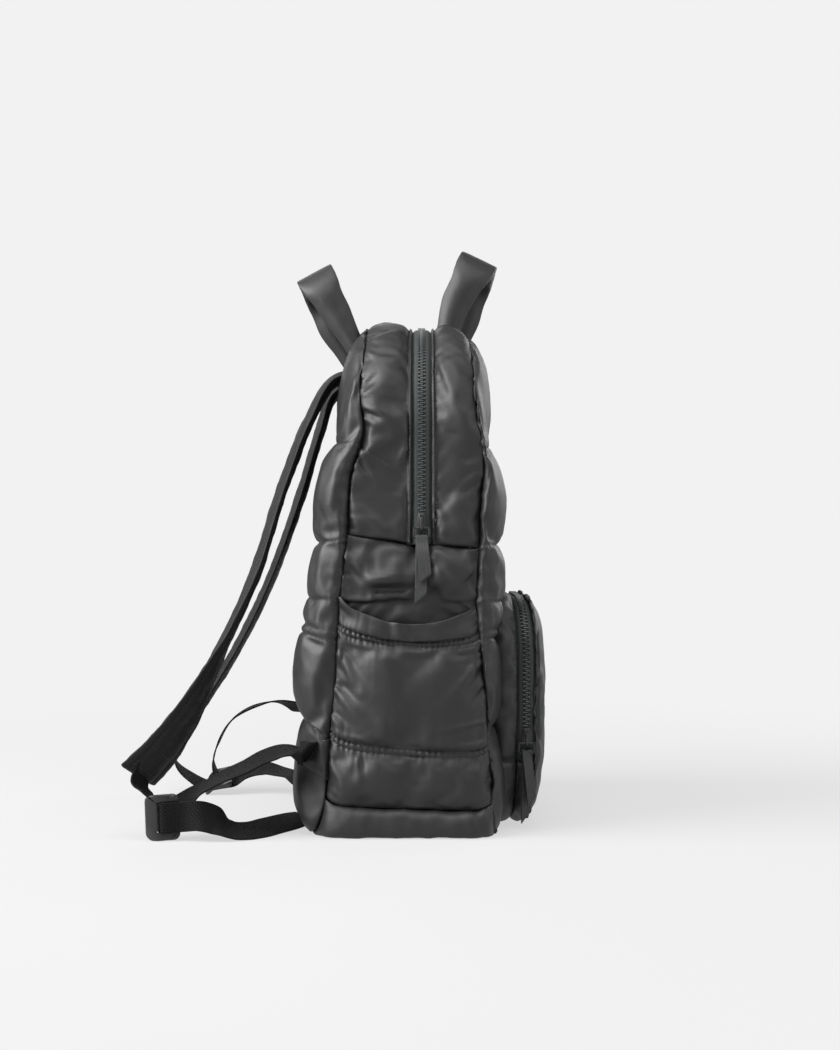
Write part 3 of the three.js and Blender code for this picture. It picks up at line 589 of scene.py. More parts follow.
def panel_bulge(z, side):
    """How far a panel stands out at a height: its puff, drawn in at both ends."""
    k = next((n for n, puff in enumerate(PUFFS) if z <= puff.top + 1e-6), len(PUFFS) - 1)
    puff = PUFFS[k]
    foot = PUFFS[k - 1].top if k else -puff.top
    head = 2 * puff.top - foot if k == len(PUFFS) - 1 else puff.top
    t = (z - foot) / (head - foot)
    beside = PUFFS[int(clamp(k - 1 if t < 0.5 else k + 1, 0, len(PUFFS) - 1))]
    bulge = getattr(puff, side)
    smooth = lerp(bulge, (bulge + getattr(beside, side)) / 2, abs(2 * t - 1))
    groove = PUFFS[k - 1].groove if t < 0.5 and k else puff.groove
    return smooth - groove * (1 - swell(t))


# How far the back panel's quilt lines lie above their height at the side seam, and on the panel's crest.
QUILT_LEVELS = (0, 30, 92, 170, 198, 250, 335, 370, 439)
QUILT_AT_SEAM = (0, 0, -9, -3, 1, 5, 6, 0, 0)
QUILT_AT_CREST = (0, 0, 5, 5, 3, 2, 4, 4, 0)
FRONT_DROP = 10
FRONT_DROP_FROM = 370
FOOT_LEVEL = 4
FOOT_WRAP = 40
LOWEST = 0.6


def front_drop(z, t):
    """How far the top has sunk at a height, from nothing beside the zip to its most at the front seam."""
    return FRONT_DROP * clamp((z - FRONT_DROP_FROM) / (HEIGHT - FRONT_DROP_FROM)) ** 2 * t * t


def panel_point(side, column, z):
    """A point of a panel. A column past 1 or -1 is on the wrap at that side."""
    drawn = seam_depth(z)
    half = half_width_at(z, drawn)
    reach = abs(column)
    if reach > 1:
        x = math.copysign(half - SIDE_WRAP * (1 - math.cos((2 - reach) * math.pi / 2)), column)
    else:
        x = column * (half - SIDE_WRAP)
    box = Outline(
        HALF_WIDTH - drawn, SEAM_INSET, HEIGHT - SEAM_INSET,
        TOP_CORNER - SEAM_INSET, BOTTOM_CORNER - SEAM_INSET,
    )
    depth, facing = edge_of(x, z, box)
    inwards = clamp(depth / SIDE_WRAP)
    out = panel_bulge(z, side) * rounded(inwards)
    out = out * rounded((box.top - z) / TOP_WRAP) * rounded((z + FOOT_LEVEL) / FOOT_WRAP)
    past = overhang(z) * math.sin(math.pi * inwards ** 0.24) * lerp(1, 0.4, facing[1] ** 2)
    height = max(LOWEST, z + facing[1] * past)
    if side == "back":
        lifts = (QUILT_AT_SEAM, QUILT_AT_CREST)
        at_seam, at_crest = (float(np.interp(z, QUILT_LEVELS, lift)) for lift in lifts)
        height += lerp(at_seam, at_crest, rounded(inwards))
        y = lerp(back_seam(height), back_line(height), rounded(inwards)) + out
        return x + facing[0] * past, y, height
    y = lerp(front_seam(height), front_line(height), rounded(inwards)) - out
    return x + facing[0] * past, y, height - front_drop(z, 1)


PANEL_STEPS = 40
PANEL_WRAP_STEPS = 14


def make_panel(side, look):
    """A padded front or back panel with its quilt lines."""
    name = side + "_panel"
    lines = [puff.top for puff in PUFFS[:-1]]
    rows = crowded(SEAM_INSET, lines[0], look.cell, 1)
    rows += through(lines, look.cell)[1:]
    rows += crowded(lines[-1], HEIGHT - SEAM_INSET, look.cell, 1)[1:]
    wrap = [lerp(-2, -1, t) for t in parts(PANEL_WRAP_STEPS)[:-1]]
    columns = wrap + crowded(-1, 1, 2 / PANEL_STEPS, 0) + [-c for c in reversed(wrap)]
    sheet = Sheet(name, columns, rows, lambda c, z: panel_point(side, c, z))
    sheet.settle(look, rows=lines)
    stitched = [sheet.row(z) for z in lines]
    seams = [Seam(1, sheet.up[nearest(rows, z)], 0.7, True, 0.8) for z in lines]
    seams += [Seam(0, sheet.across[0], 1.5), Seam(0, sheet.across[-1], 1.5)]
    make_cover(sheet, name, look, seams, len(side), (40, 0.4), 0.7, lines=stitched)


# The gusset


GUSSET_SWELL = 7
GUSSET_FOLDS = [
    Fold(40, 330, 0, 304, 2.4, 3.2),
    Fold(39, 325, 22, 293, 2.4, -3.4),
    Fold(40, 316, 18, 290, 3, 2.4),
    Fold(32, 360, 15, 351, 2.4, -3.6),
    Fold(32, 354, 13, 344, 3.4, 3.2),
    Fold(33, 372, 20, 381, 2.2, 2.6),
    Fold(33, 384, 23, 394, 2.2, 2.4),
    Fold(31, 424, 17, 416, 2.2, -3.4),
    Fold(31, 412, 19, 405, 2.4, 3.4),
    Fold(-28, 402, -46, 345, 5, -3.4),
    Fold(-27, 286, -40, 256, 3, 2.8),
    Fold(-27, 272, -36, 252, 2.4, 2.4),
    Fold(-66, 306, -44, 292, 4, 2.4),
    Fold(-6, 330, 4, 310, 2.4, 2.0),
]
SIDE_FOLDS = [
    Fold(-14, 252, -12, 188, 15, -7),
    Fold(32, 208, -58, 206, 8, -8),
    Fold(50, 240, 22, 216, 4, 3.0),
    Fold(52, 222, 26, 206, 3.4, 2.6),
    Fold(-24, 238, -40, 212, 4, 3.4),
    Fold(-62, 226, -42, 208, 3, 2.8),
]


def zip_end_lift(y):
    """How far the seam under the zip's end lies above its height at the zip: it rises towards the back."""
    return 0.14 * max(0, y - ZIP_Y) - 0.05 * max(0, ZIP_Y - y)


# The folded edge beside the zip: shares of its width and how far it stands off the outline there.
HEM_WIDTH = 3.8
HEM_SHARES = [0, 0.15, 0.35, 0.55, 0.75, 0.9, 1]
HEM_RISES = [-2.8, -1.3, -0.6, -0.5, -0.9, -2.0, -2.4]
HEM_STITCHED = 3


def make_gusset(side, look):
    """One padded half of the upper gusset, between the zip and a panel."""
    name = "gusset_" + side
    sign = 1 if side == "back" else -1
    zip_at = ZIP_Y + sign * (ZIP_HALF_WIDTH + GAP)
    seam_at = back_seam if side == "back" else front_seam
    stations = over_top(ZIP_END_Z + GAP / 2, look.cell)
    width = abs(zip_at - seam_at(300))
    hem = HEM_WIDTH / width

    def place(t, station):
        y = lerp(zip_at, seam_at(station.z), t)
        sink = front_drop(station.z, t) * station.out_z if side == "front" else 0
        lift = zip_end_lift(y) * clamp(1 - (station.z - ZIP_END_Z) / 60)
        near_end = rounded((station.z - ZIP_END_Z) / 16)
        station = station._replace(z=station.z + lift - sink)
        beyond = clamp((t - hem) / (1 - hem))
        puff = lerp(HEM_RISES[-1], -seam_depth(station.z), beyond)
        puff += GUSSET_SWELL * swell(beyond) * lerp(0.2, 1, near_end)
        rise = puff if t > hem else float(np.interp(t / hem, HEM_SHARES, HEM_RISES))
        return band_point(station, rise, lambda z: lerp(zip_at, seam_at(z), t))

    edge = [share * hem for share in HEM_SHARES]
    columns = edge[:-1] + crowded(hem, 1, look.cell / width, 0.6)
    sheet = Sheet(name, columns, range(len(stations)), lambda t, k: place(t, stations[k]))
    sheet.settle(look, columns=edge)
    stitched = [sheet.column(edge[HEM_STITCHED])]
    seams = [
        Seam(0, sheet.across[nearest(columns, hem)], 0.5, True, 0.55), Seam(0, sheet.across[-1], 0.8),
        Seam(1, sheet.up[0], 0.7), Seam(1, sheet.up[-1], 0.7),
    ]
    make_cover(sheet, name, look, seams, sign, (30, 0.4), 0.6, folds=GUSSET_FOLDS, lines=stitched)


# Side panels and slip pockets


SIDE_SWELL = 10
SIDE_DEPTH = 125
RECESS = 3
MOUTH_GAP = 0.4
TOP_STITCH_DROP = 2.2
SLIP_WALL = 2.6
SLIP_GROOVE_WIDTH = 0.018
SLIP_FULLNESS = 17
SLIP_LIFT = 5
BASE_BULGE = 9
# The slip pocket's stitch lines, as shares of its height, and how deep they are drawn in.
SLIP_LINES = [(0.30, 3.6), (0.33, 3.6), (0.84, 4.0), (0.87, 4.0)]
SLIP_FOLDS = [
    Fold(54, 158, 32, 118, 4.5, 3.4),
    Fold(57, 128, 28, 92, 5, 3.6),
    Fold(60, 104, 44, 84, 4, 3.0),
    Fold(-68, 150, -34, 104, 6, 3.6),
    Fold(-70, 132, -44, 100, 4, 2.8),
    Fold(-74, 98, -22, 88, 2.2, 1.8),
    Fold(56, 212, 22, 168, 7, 6.0),
    Fold(10, 206, 9, 156, 7, -6.0),
    Fold(-66, 206, -24, 172, 6, 4.0),
    Fold(62, 66, 48, 40, 5, 3.0),
    Fold(36, 70, 35, 44, 3, 2.0),
]


def make_side_panel(name, sign, look):
    """A padded side panel, behind the slip pocket up to its mouth and puffed above it."""
    mouth = MOUTH_Z + MOUTH_GAP
    rows = through([BASE_SEAM_Z + GAP / 2, mouth, ZIP_END_Z - GAP / 2], look.cell)
    columns = crowded(0, 1, look.cell / SIDE_DEPTH)

    def place(t, level):
        above = (level - MOUTH_Z) / (ZIP_END_Z - MOUTH_Z)
        rise = -SEAM_INSET - RECESS + 5 * swell(t) * clamp((level - MOUTH_Z + 30) / 25)
        if level > MOUTH_Z + 1:
            rise = -seam_depth(level) + SIDE_SWELL * swell(t) * swell(above)
        y = lerp(front_seam(level), back_seam(level), t)
        station = side_station(level + zip_end_lift(y) * clamp(above), sign)
        return band_point(station, rise, lambda z: y)

    sheet = Sheet(name, columns, rows, place)
    sheet.settle(look, rows=[mouth], slack=1.2)
    top_line = [p - Vector((0, 0, TOP_STITCH_DROP * MM)) for p in sheet.row(ZIP_END_Z)]
    seams = [Seam(1, sheet.up[-1], 0.9), Seam(0, sheet.across[0], 0.9), Seam(0, sheet.across[-1], 0.9)]
    crumpled = (32, 0.5, sign)
    make_cover(sheet, name, look, seams, sign * 3, crumpled, 0.6, folds=SIDE_FOLDS, lines=[top_line])


def slip_droop(t, share):
    """How far the slip pocket has sunk: towards the front, in its middle, and most at its mouth."""
    return clamp(share / 0.25) * (7 * (1 - t) + swell(t) * (5.5 + 9.5 * share ** 6))


def make_slip_pocket(name, sign, look):
    """A slip pocket, open at its drooping mouth."""
    shares = [share for share, _ in SLIP_LINES]
    rows = through([0, *shares, 1], look.cell / (MOUTH_Z - BASE_SEAM_Z), 0.5)
    columns = crowded(0, 1, look.cell / SIDE_DEPTH)

    def place(t, share):
        groove = sum(deep * bump(share, at, SLIP_GROOVE_WIDTH) for at, deep in SLIP_LINES)
        wave = noise.noise(Vector((t * 3.5, sign, 0.7)))
        z = lerp(base_seam(t) + GAP, MOUTH_Z + SLIP_LIFT, share) - slip_droop(t, share)
        hem = 2.2 * swell((share - 0.95) / 0.1)
        full = lerp(BASE_BULGE, SLIP_FULLNESS - groove, rounded(share / 0.25))
        rise = full * lerp(1, 0.8, share) + hem + 3 * wave * share
        rise = rise * lerp(slab(t), swell(t), clamp(share / 0.6)) - SEAM_INSET
        station = side_station(z, sign)
        return band_point(station, rise, lambda level: lerp(front_seam(level), back_seam(level), t))

    sheet = Sheet(name, columns, rows, place)
    sheet.settle(look, rows=shares, open_top=True, slack=0.6)
    stitched = [sheet.row(share) for share in shares]
    seams = [Seam(1, sheet.up[nearest(rows, share)], 0.75, True, 0.8, 1.3) for share in shares]
    seams += [Seam(0, sheet.across[0], 1.3), Seam(0, sheet.across[-1], 1.3), Seam(1, sheet.up[0], 0.6)]
    crumpled = (30, 0.5, sign)
    make_cover(sheet, name, look, seams, sign * 5, crumpled, 0.4, 2, SLIP_FOLDS, SLIP_WALL, stitched)


# The base


# The base's section at its side: how far it stands past the body's side, and its height there.
BASE_SECTION = [
    (BASE_BULGE - SEAM_INSET, 24), (9.5, 23), (12, 21), (13.6, 18), (14.6, 14), (15, 9.5),
    (14.8, 5), (13.4, 1.6), (11, 0.3), (6, 0), (0, 0), (-8, 0),
]
BASE_DEPTH = 140


def keep_above_floor(piece):
    """Lifts every point that is under the floor up to it."""
    points = coordinates(piece.data)
    points[:, 2] = np.maximum(points[:, 2], 0.0)
    place_points(piece.data, points)


def make_base(look):
    """The padded bottom, with its turned-up ends."""
    reach = HALF_WIDTH + BASE_SECTION[-1][0]
    side = [(-HALF_WIDTH - out, z) for out, z in BASE_SECTION]
    flat = [(x, 0.0) for x in crowded(-reach, reach, look.cell, 0)[1:-1]]
    section = side + flat + [(-x, z) for x, z in reversed(side)]
    columns = crowded(0, 1, look.cell / BASE_DEPTH, 0.8)

    def place(t, k):
        x, z = section[k]
        end = min(half_width_at(z, SEAM_INSET), abs(x))
        lift = (base_seam(t) - BASE_SEAM_Z) * clamp(z / BASE_SEAM_Z) ** 2
        x = math.copysign(lerp(end, abs(x), slab(t)), x)
        return x, lerp(front_seam(z), back_seam(z), t), z + lift

    sheet = Sheet("base", columns, range(len(section)), place)
    sheet.settle(look, cap=3)
    piece = sheet.smoothed(1)
    gather(piece, [Seam(1, sheet.up[0], 1.0), Seam(1, sheet.up[-1], 1.0)], look)
    crumple(piece, 34, 1.4)
    keep_above_floor(piece)
    thicken(piece, WALL)
    apply_modifiers(piece)
    keep_above_floor(piece)
    dress(piece, cloth_finish("satin_nylon"), "base", fill=0.5)


# Routes of straps and webbing


WEBBING_WIDTH = 25
WEBBING_THICKNESS = 1.4
# A place on a strip's middle line, the way its width runs there, and its width.
Row = namedtuple("Row", "at across width", defaults=(WEBBING_WIDTH,))
LENGTH_STEPS = 400
STRIP_COLUMNS = (-1, -0.9, -0.5, 0, 0.5, 0.9, 1)
STRIP_STEP = 2.5
STRIP_LEAST_STEPS = 24


class Route:
    """A smooth line through rows, with a strip's frame at each share of its way."""

    def __init__(self, rows):
        self.rows = rows
        line = [Vector(row.at) for row in rows]
        self.line = [2 * line[0] - line[1], *line, 2 * line[-1] - line[-2]]

    def point(self, u):
        """The point at a share of the way."""
        last = len(self.rows) - 2
        place = clamp(u) * (last + 1)
        k = min(int(place), last)
        t = place - k
        p0, p1, p2, p3 = self.line[k:k + 4]
        before, here, after = ((b - a).length ** 0.5 for a, b in ((p0, p1), (p1, p2), (p2, p3)))
        leave = ((p1 - p0) / before - (p2 - p0) / (before + here) + (p2 - p1) / here) * here
        reach = ((p2 - p1) / here - (p3 - p1) / (here + after) + (p3 - p2) / after) * here
        bend = 3 * (p2 - p1) - 2 * leave - reach
        twist = 2 * (p1 - p2) + leave + reach
        return p1 + leave * t + bend * t ** 2 + twist * t ** 3

    def frame(self, u):
        """The middle, the way across, the way out of the face, and the width at a share of the way."""
        place = clamp(u) * (len(self.rows) - 1)
        k = min(int(place), len(self.rows) - 2)
        tangent = (self.point(u + 1e-3) - self.point(u - 1e-3)).normalized()
        across = Vector(self.rows[k].across).lerp(Vector(self.rows[k + 1].across), place - k)
        across = (across - tangent * across.dot(tangent)).normalized()
        width = lerp(self.rows[k].width, self.rows[k + 1].width, place - k)
        return self.point(u), across, tangent.cross(across), width

    def length(self):
        """Length of the middle line, in millimetres."""
        points = [self.point(u) for u in parts(LENGTH_STEPS)]
        return sum((b - a).length for a, b in zip(points, points[1:]))


def make_strip(name, rows, thickness, finish, slot, slant=0.0):
    """A flat woven strip along a route, its ends cut at a slant."""
    route = Route(rows)
    length = route.length()

    def place(t, u):
        cut = slant * (t + 1) / 2
        middle, across, _, width = route.frame(lerp(cut, 1 - cut, u))
        return middle + across * (t * width / 2)

    steps = max(STRIP_LEAST_STEPS, round(length / STRIP_STEP))
    piece = Sheet(name, STRIP_COLUMNS, parts(steps), place).smoothed(1)
    thicken(piece, thickness, 0.0)
    dress(piece, finish, name, slot=slot)


class Tube(Sheet):
    """A padded strip: fabric round a route, closed at its ends."""

    def __init__(self, name, around, along, place):
        super().__init__(name, around, along, place)
        bm = bmesh.new()
        bm.from_mesh(self.piece.data)
        bmesh.ops.remove_doubles(bm, verts=bm.verts, dist=1e-6)
        bmesh.ops.holes_fill(bm, edges=[edge for edge in bm.edges if edge.is_boundary], sides=0)
        bmesh.ops.recalc_face_normals(bm, faces=bm.faces)
        bm.to_mesh(self.piece.data)
        bm.free()


def ring_point(share, soft=0.75):
    """Where a share of the way round a padded section lies: across, from -1 to 1, and which face."""
    turn = 2 * math.pi * share
    across = math.copysign(abs(math.cos(turn)) ** soft, math.cos(turn))
    return across, math.copysign(abs(math.sin(turn)) ** soft, math.sin(turn))


# Handles


HANDLE_HALF_SPAN = 62
HANDLE_RISE = 72
HANDLE_CORNER = 26
HANDLE_WIDTH = 35
HANDLE_ROOT_WIDTH = 16
HANDLE_THICKNESS = 13
HANDLE_EDGE = 3
HANDLE_TOP_THICKNESS = 8
HANDLE_ROOT = 14
HANDLE_STEPS = (32, 80)
# Where a handle stands, how far it and its top edge lean, in degrees, and how far its two legs have moved.
Handle = namedtuple("Handle", "name y z lean top_lean shifts")
HANDLES = [
    Handle("handle_back", 43.5, 424.5, 29, 28, (0, 10)),
    Handle("handle_front", -47, 431, -17.5, -25, (8, -4)),
]


def handle_rows(handle):
    """Rows of a handle from one root over its top to the other."""
    lean = math.radians(handle.lean)
    top_lean = math.radians(handle.top_lean)
    across = (0, math.cos(top_lean), -math.sin(top_lean))
    bend = [math.radians(turn) for turn in (20, 45, 70)]
    half = [(-HANDLE_HALF_SPAN - 2, -HANDLE_ROOT), (-HANDLE_HALF_SPAN - 1, 8)]
    half.append((-HANDLE_HALF_SPAN, HANDLE_RISE - 1.6 * HANDLE_CORNER))
    for turn in bend:
        x = HANDLE_CORNER - HANDLE_HALF_SPAN - HANDLE_CORNER * math.cos(turn)
        half.append((x, HANDLE_RISE - HANDLE_CORNER + HANDLE_CORNER * math.sin(turn)))
    path = half + [(0, HANDLE_RISE + 1)] + [(-x, h) for x, h in reversed(half)]
    rows = []
    for x, h in path:
        width = lerp(HANDLE_ROOT_WIDTH, HANDLE_WIDTH, clamp(h / (0.9 * HANDLE_RISE)) ** 0.8)
        shift = lerp(*handle.shifts, 0.5 + x / HANDLE_HALF_SPAN / 2) * clamp((HANDLE_RISE - h) / 40)
        at = (x, handle.y + math.sin(lean) * h + shift, handle.z + math.cos(lean) * h)
        rows.append(Row(at, across, width))
    return rows


def make_handle(handle):
    """A smooth padded handle, folded crisply where it turns over."""
    route = Route(handle_rows(handle))
    up = Vector((0, math.sin(math.radians(handle.lean)), math.cos(math.radians(handle.lean))))

    def place(share, u):
        middle, way, out, width = route.frame(u)
        height = up.dot(middle - Vector((0, handle.y, handle.z)))
        top = clamp((height - HANDLE_RISE + 24) / 20)
        across, face = ring_point(share, lerp(0.75, 0.16, top))
        edge = lerp(HANDLE_EDGE, HANDLE_TOP_THICKNESS, top)
        thick = lerp(lerp(HANDLE_THICKNESS, HANDLE_TOP_THICKNESS, top), edge, abs(across) ** 2.2) / 2
        pinch = 1 - 0.07 * bump(height, HANDLE_RISE - 26, 9)
        return middle + way * (across * width / 2 * pinch) + out * (face * thick)

    around, along = (parts(count) for count in HANDLE_STEPS)
    piece = Tube(handle.name, around, along, place).smoothed(1)
    crumple(piece, 30, 0.5, handle.lean)
    dress(piece, cloth_finish("satin_nylon"), handle.name, fill=0.8)


# Shoulder straps


STRAP_THICKNESS = 10
STRAP_EDGE = 5
STRAP_STITCH_IN = 7
STRAP_END_SLANT = 0.032
STRAP_CRUMPLE_SEED = 3
STRAP_STEPS = (48, 110)
STRAP_BORDER = (0.05, 0.98)
STRAP_MIDDLE_SEAM = (0.72, 0.97)
STRAP_TACKS = (0.97, 0.9)
LEFT_STRAP = [
    Row((-46, 40, 399), (1, 0, 0), 58),
    Row((-49, 63, 390), (1, 0.05, 0), 58),
    Row((-58, 84, 354), (1, 0.1, 0.05), 60),
    Row((-72, 105, 297), (1, 0.12, 0.05), 60),
    Row((-90, 127.5, 222), (1, 0.12, 0.05), 56),
    Row((-108, 153, 161), (1, 0.05, -0.05), 52),
    Row((-126, 178.5, 108), (1, -0.3, -0.3), 47),
    Row((-138, 201, 74), (0.9, -0.6, -0.4), 44),
    Row((-148.5, 225.5, 48), (0.7, -0.7, -0.4), 42),
]
RIGHT_STRAP = [
    Row((46, 40, 399), (1, 0, 0), 58),
    Row((48, 66, 386), (1, 0.04, 0), 58),
    Row((53, 79, 353), (1, 0.07, 0), 60),
    Row((66, 99, 290), (1, 0.07, 0), 60),
    Row((80, 124, 222), (1, 0.07, 0), 56),
    Row((91, 150, 166), (1, 0.07, 0), 52),
    Row((100, 179, 116), (1, 0.07, 0), 47),
    Row((105, 208, 72), (1, 0.1, 0.1), 44),
    Row((108, 224, 38), (1, 0.2, 0.1), 42),
]


def make_strap(name, rows, look):
    """A padded shoulder strap with a stitched border and a tacked lower end."""
    route = Route(rows)

    def surface(across, face, u):
        cut = 1 - STRAP_END_SLANT * (1 + across) / 2 * u ** 6
        middle, way, out, width = route.frame(u * cut)
        border = (1 - abs(across)) * width / 2 - STRAP_STITCH_IN
        groove = 1.6 * bump(border, 0, 1.6)
        seam = 1.2 * bump(across * width / 2, 0, 1.4) * clamp((u - 0.7) / 0.04)
        thick = lerp(STRAP_THICKNESS, STRAP_EDGE, abs(across) ** 3) / 2
        end = rounded((1 - u) / 0.02)
        rise = face * (thick - groove - seam) * lerp(0.3, 1, end)
        return middle + way * (across * width / 2) + out * rise

    def reach_at(u):
        return 1 - 2 * STRAP_STITCH_IN / route.frame(u)[3]

    def line(side, ends, face):
        shares = [lerp(*ends, k) for k in parts(120)]
        return [surface(side * reach_at(u), face, u) * MM for u in shares]

    def tack(u, face):
        return [surface(lerp(-reach_at(u), reach_at(u), k), face, u) * MM for k in parts(20)]

    around, along = (parts(count) for count in STRAP_STEPS)
    piece = Tube(name, around, along, lambda share, u: surface(*ring_point(share), u)).smoothed(1)
    crumple(piece, 60, 0.8, STRAP_CRUMPLE_SEED)
    dress(piece, cloth_finish("strap_nylon"), name, fill=0.5)
    lines = []
    for face in (-1, 1):
        lines += [line(side, STRAP_BORDER, face) for side in (1, -1)]
        lines += [line(0, STRAP_MIDDLE_SEAM, face), *(tack(u, face) for u in STRAP_TACKS)]
    sew(name + "_stitches", piece, lines, look)


# Buckles, and the webbing round them


BUCKLE_COLUMNS = (-15, -6.2, -2, 2, 8, 13)
BUCKLE_SLOTS = (1, 3)
BUCKLE_BACK_SLOT = -4.2
BUCKLE_ROWS = (-19, -12.6, 12.6, 19)
BUCKLE_THICKNESS = 3.6
BUCKLE_TURN = 3.7
BUCKLE_LEAN = 5.5
BUCKLE_RAIL = 17
BUCKLE_RAIL_SWELL = 1.5
BUCKLE_CORNER = 6
BUCKLE_SOFT = 0.8
TURN_STEPS = 4
SHARP_ANGLE = 0.6
TINY = 1e-5


class BuckleFrame:
    """Where a buckle lies: its length runs along a, its width along b and its face looks along c."""

    def __init__(self, at, a, b):
        self.at = Vector(at)
        self.a = Vector(a).normalized()
        self.b = (Vector(b) - self.a * Vector(b).dot(self.a)).normalized()
        self.c = self.a.cross(self.b)

    def point(self, along, out):
        """A point on the buckle's middle line."""
        return self.at + self.a * along + self.c * out

    def matrix(self):
        """The buckle's place, for a shape in metres."""
        turn = Matrix((self.a, self.b, self.c)).transposed().to_4x4()
        return Matrix.Translation(self.at * MM) @ turn

    def round_bar(self, start, end, sign=1):
        """Rows of webbing round the middle bar, from one face to the other."""
        rows = []
        for share in parts(TURN_STEPS):
            angle = math.radians(lerp(start, end, share))
            at = self.point(BUCKLE_TURN * math.cos(angle), BUCKLE_TURN * math.sin(angle))
            rows.append(Row(at, self.b * sign))
        return rows


LEFT_BUCKLE = BuckleFrame((-164, 197, 19.6), (0.3, -1, 0.04), (0, 0, 1))
RIGHT_BUCKLE = BuckleFrame((103, 180, 14), (-0.05, -1, 0.2), (1, 0.15, 0.3))

LEFT_WEBBING = [
    Row((-150, 83, 71), (0.82, -0.3, 0.48)),
    Row((-150, 89, 72.6), (0.98, -0.05, 0.14)),
    Row((-146, 103, 71.8), (0.93, 0.16, 0.32)),
    Row((-147, 117.5, 66.8), (0.93, 0.17, 0.33)),
    Row((-150, 131.3, 59.5), (0.94, 0.16, 0.3)),
    Row((-153, 150, 51.7), (0.96, 0.13, 0.25)),
    Row((-152.5, 168, 41.4), (0.97, 0.1, 0.2)),
    Row((-150.5, 181, 31), (0.76, 0.2, 0.62)),
    Row(LEFT_BUCKLE.point(7, -4.6), LEFT_BUCKLE.b),
    *LEFT_BUCKLE.round_bar(270, 90),
    Row(LEFT_BUCKLE.point(14, 5.5), LEFT_BUCKLE.b),
    Row((-169, 167, 21.5), (0.2, 0.1, 0.95)),
    Row((-164, 154, 17), (0.35, 0.15, 0.92)),
    Row((-158, 143, 9), (0.75, 0.35, 0.55)),
    Row((-153, 134, 6.5), (0.8, 0.4, 0.42)),
    Row((-141, 122, 5.5), (0.6, 0.65, 0.38)),
    Row((-123, 112, 5.5), (0.5, 0.75, 0.38)),
    Row((-101, 100, 5.2), (0.45, 0.8, 0.38)),
    Row((-80, 92, 4.6), (0.35, 0.85, 0.3)),
    Row((-62, 84, 4), (0.35, 0.9, 0.2)),
]
RIGHT_WEBBING = [
    Row((150, 83, 71.4), (-0.82, -0.3, 0.48)),
    Row((149, 90, 74), (-0.95, -0.1, 0.2)),
    Row((138, 107, 81), (-0.85, -0.05, 0.5)),
    Row((133, 126, 87), (-1, -0.1, 0.15)),
    Row((125, 148, 83), (-1, -0.1, 0)),
    Row((116, 170, 70), (-1, 0, 0)),
    Row((109, 182, 50), (-1, 0, 0)),
    Row((105, 187, 32), (-1, -0.1, -0.2)),
    *RIGHT_BUCKLE.round_bar(150, 270, -1),
    Row(RIGHT_BUCKLE.point(14, -5), -RIGHT_BUCKLE.b),
    Row((103, 154, 20), (-0.95, -0.1, -0.3)),
    Row((103, 136, 24), (-0.93, 0, -0.35)),
    Row((99, 122, 21.5), (-0.93, 0.3, -0.18)),
    Row((90, 107, 19), (-0.8, 0.6, -0.05)),
    Row((76, 97, 14), (-0.55, 0.83, 0)),
    Row((60, 86, 11), (-0.55, 0.83, 0)),
]
LEFT_LOOP = [
    Row((-150.5, 220, 45.5), (-0.85, 0.45, 0.25)),
    Row((-154, 212, 38), (-0.9, 0.3, 0.3)),
    Row((-155.5, 206, 29.5), (-0.9, -0.1, 0.35)),
    Row((-157.5, 203.4, 22.5), (-0.7, -0.42, 0.58)),
    Row(LEFT_BUCKLE.point(BUCKLE_BACK_SLOT, -4), (-0.31, -0.08, 0.88)),
    Row(LEFT_BUCKLE.point(BUCKLE_BACK_SLOT, 0.4), LEFT_BUCKLE.b),
]
RIGHT_LOOP = [
    Row((108.2, 225, 35.6), (1, 0.2, 0.1)),
    Row((108.4, 224.4, 30), (1, 0.2, 0.15)),
    Row((107, 216, 20), (1, 0.15, 0.25)),
    Row(RIGHT_BUCKLE.point(-13, -6), RIGHT_BUCKLE.b),
    Row(RIGHT_BUCKLE.point(-9, -4.6), RIGHT_BUCKLE.b),
    Row(RIGHT_BUCKLE.point(-6, -2.6), RIGHT_BUCKLE.b),
    Row(RIGHT_BUCKLE.point(BUCKLE_BACK_SLOT, 0.4), RIGHT_BUCKLE.b),
]


def loop_rows(strap, rows):
    """Rows of the loop that holds a buckle, from inside the strap's end into the buckle's back slot."""
    return [Row(Vector(strap[-1].at).lerp(Vector(strap[-2].at), 0.5), rows[0].across), *rows]


def raise_plate(bm, thickness):
    """Gives a flat grid its thickness, in millimetres, half of it to each side."""
    bmesh.ops.solidify(bm, geom=bm.faces[:], thickness=thickness * MM)
    bmesh.ops.recalc_face_normals(bm, faces=bm.faces)
    low = min(vert.co.z for vert in bm.verts)
    bmesh.ops.translate(bm, verts=bm.verts, vec=(0, 0, -low - thickness * MM / 2))


def soften(bm, edges, size, segments):
    """Rounds edges off by a size in millimetres."""
    bmesh.ops.bevel(
        bm, geom=edges, offset=size * MM, segments=segments, profile=0.5, affect="EDGES", material=-1)


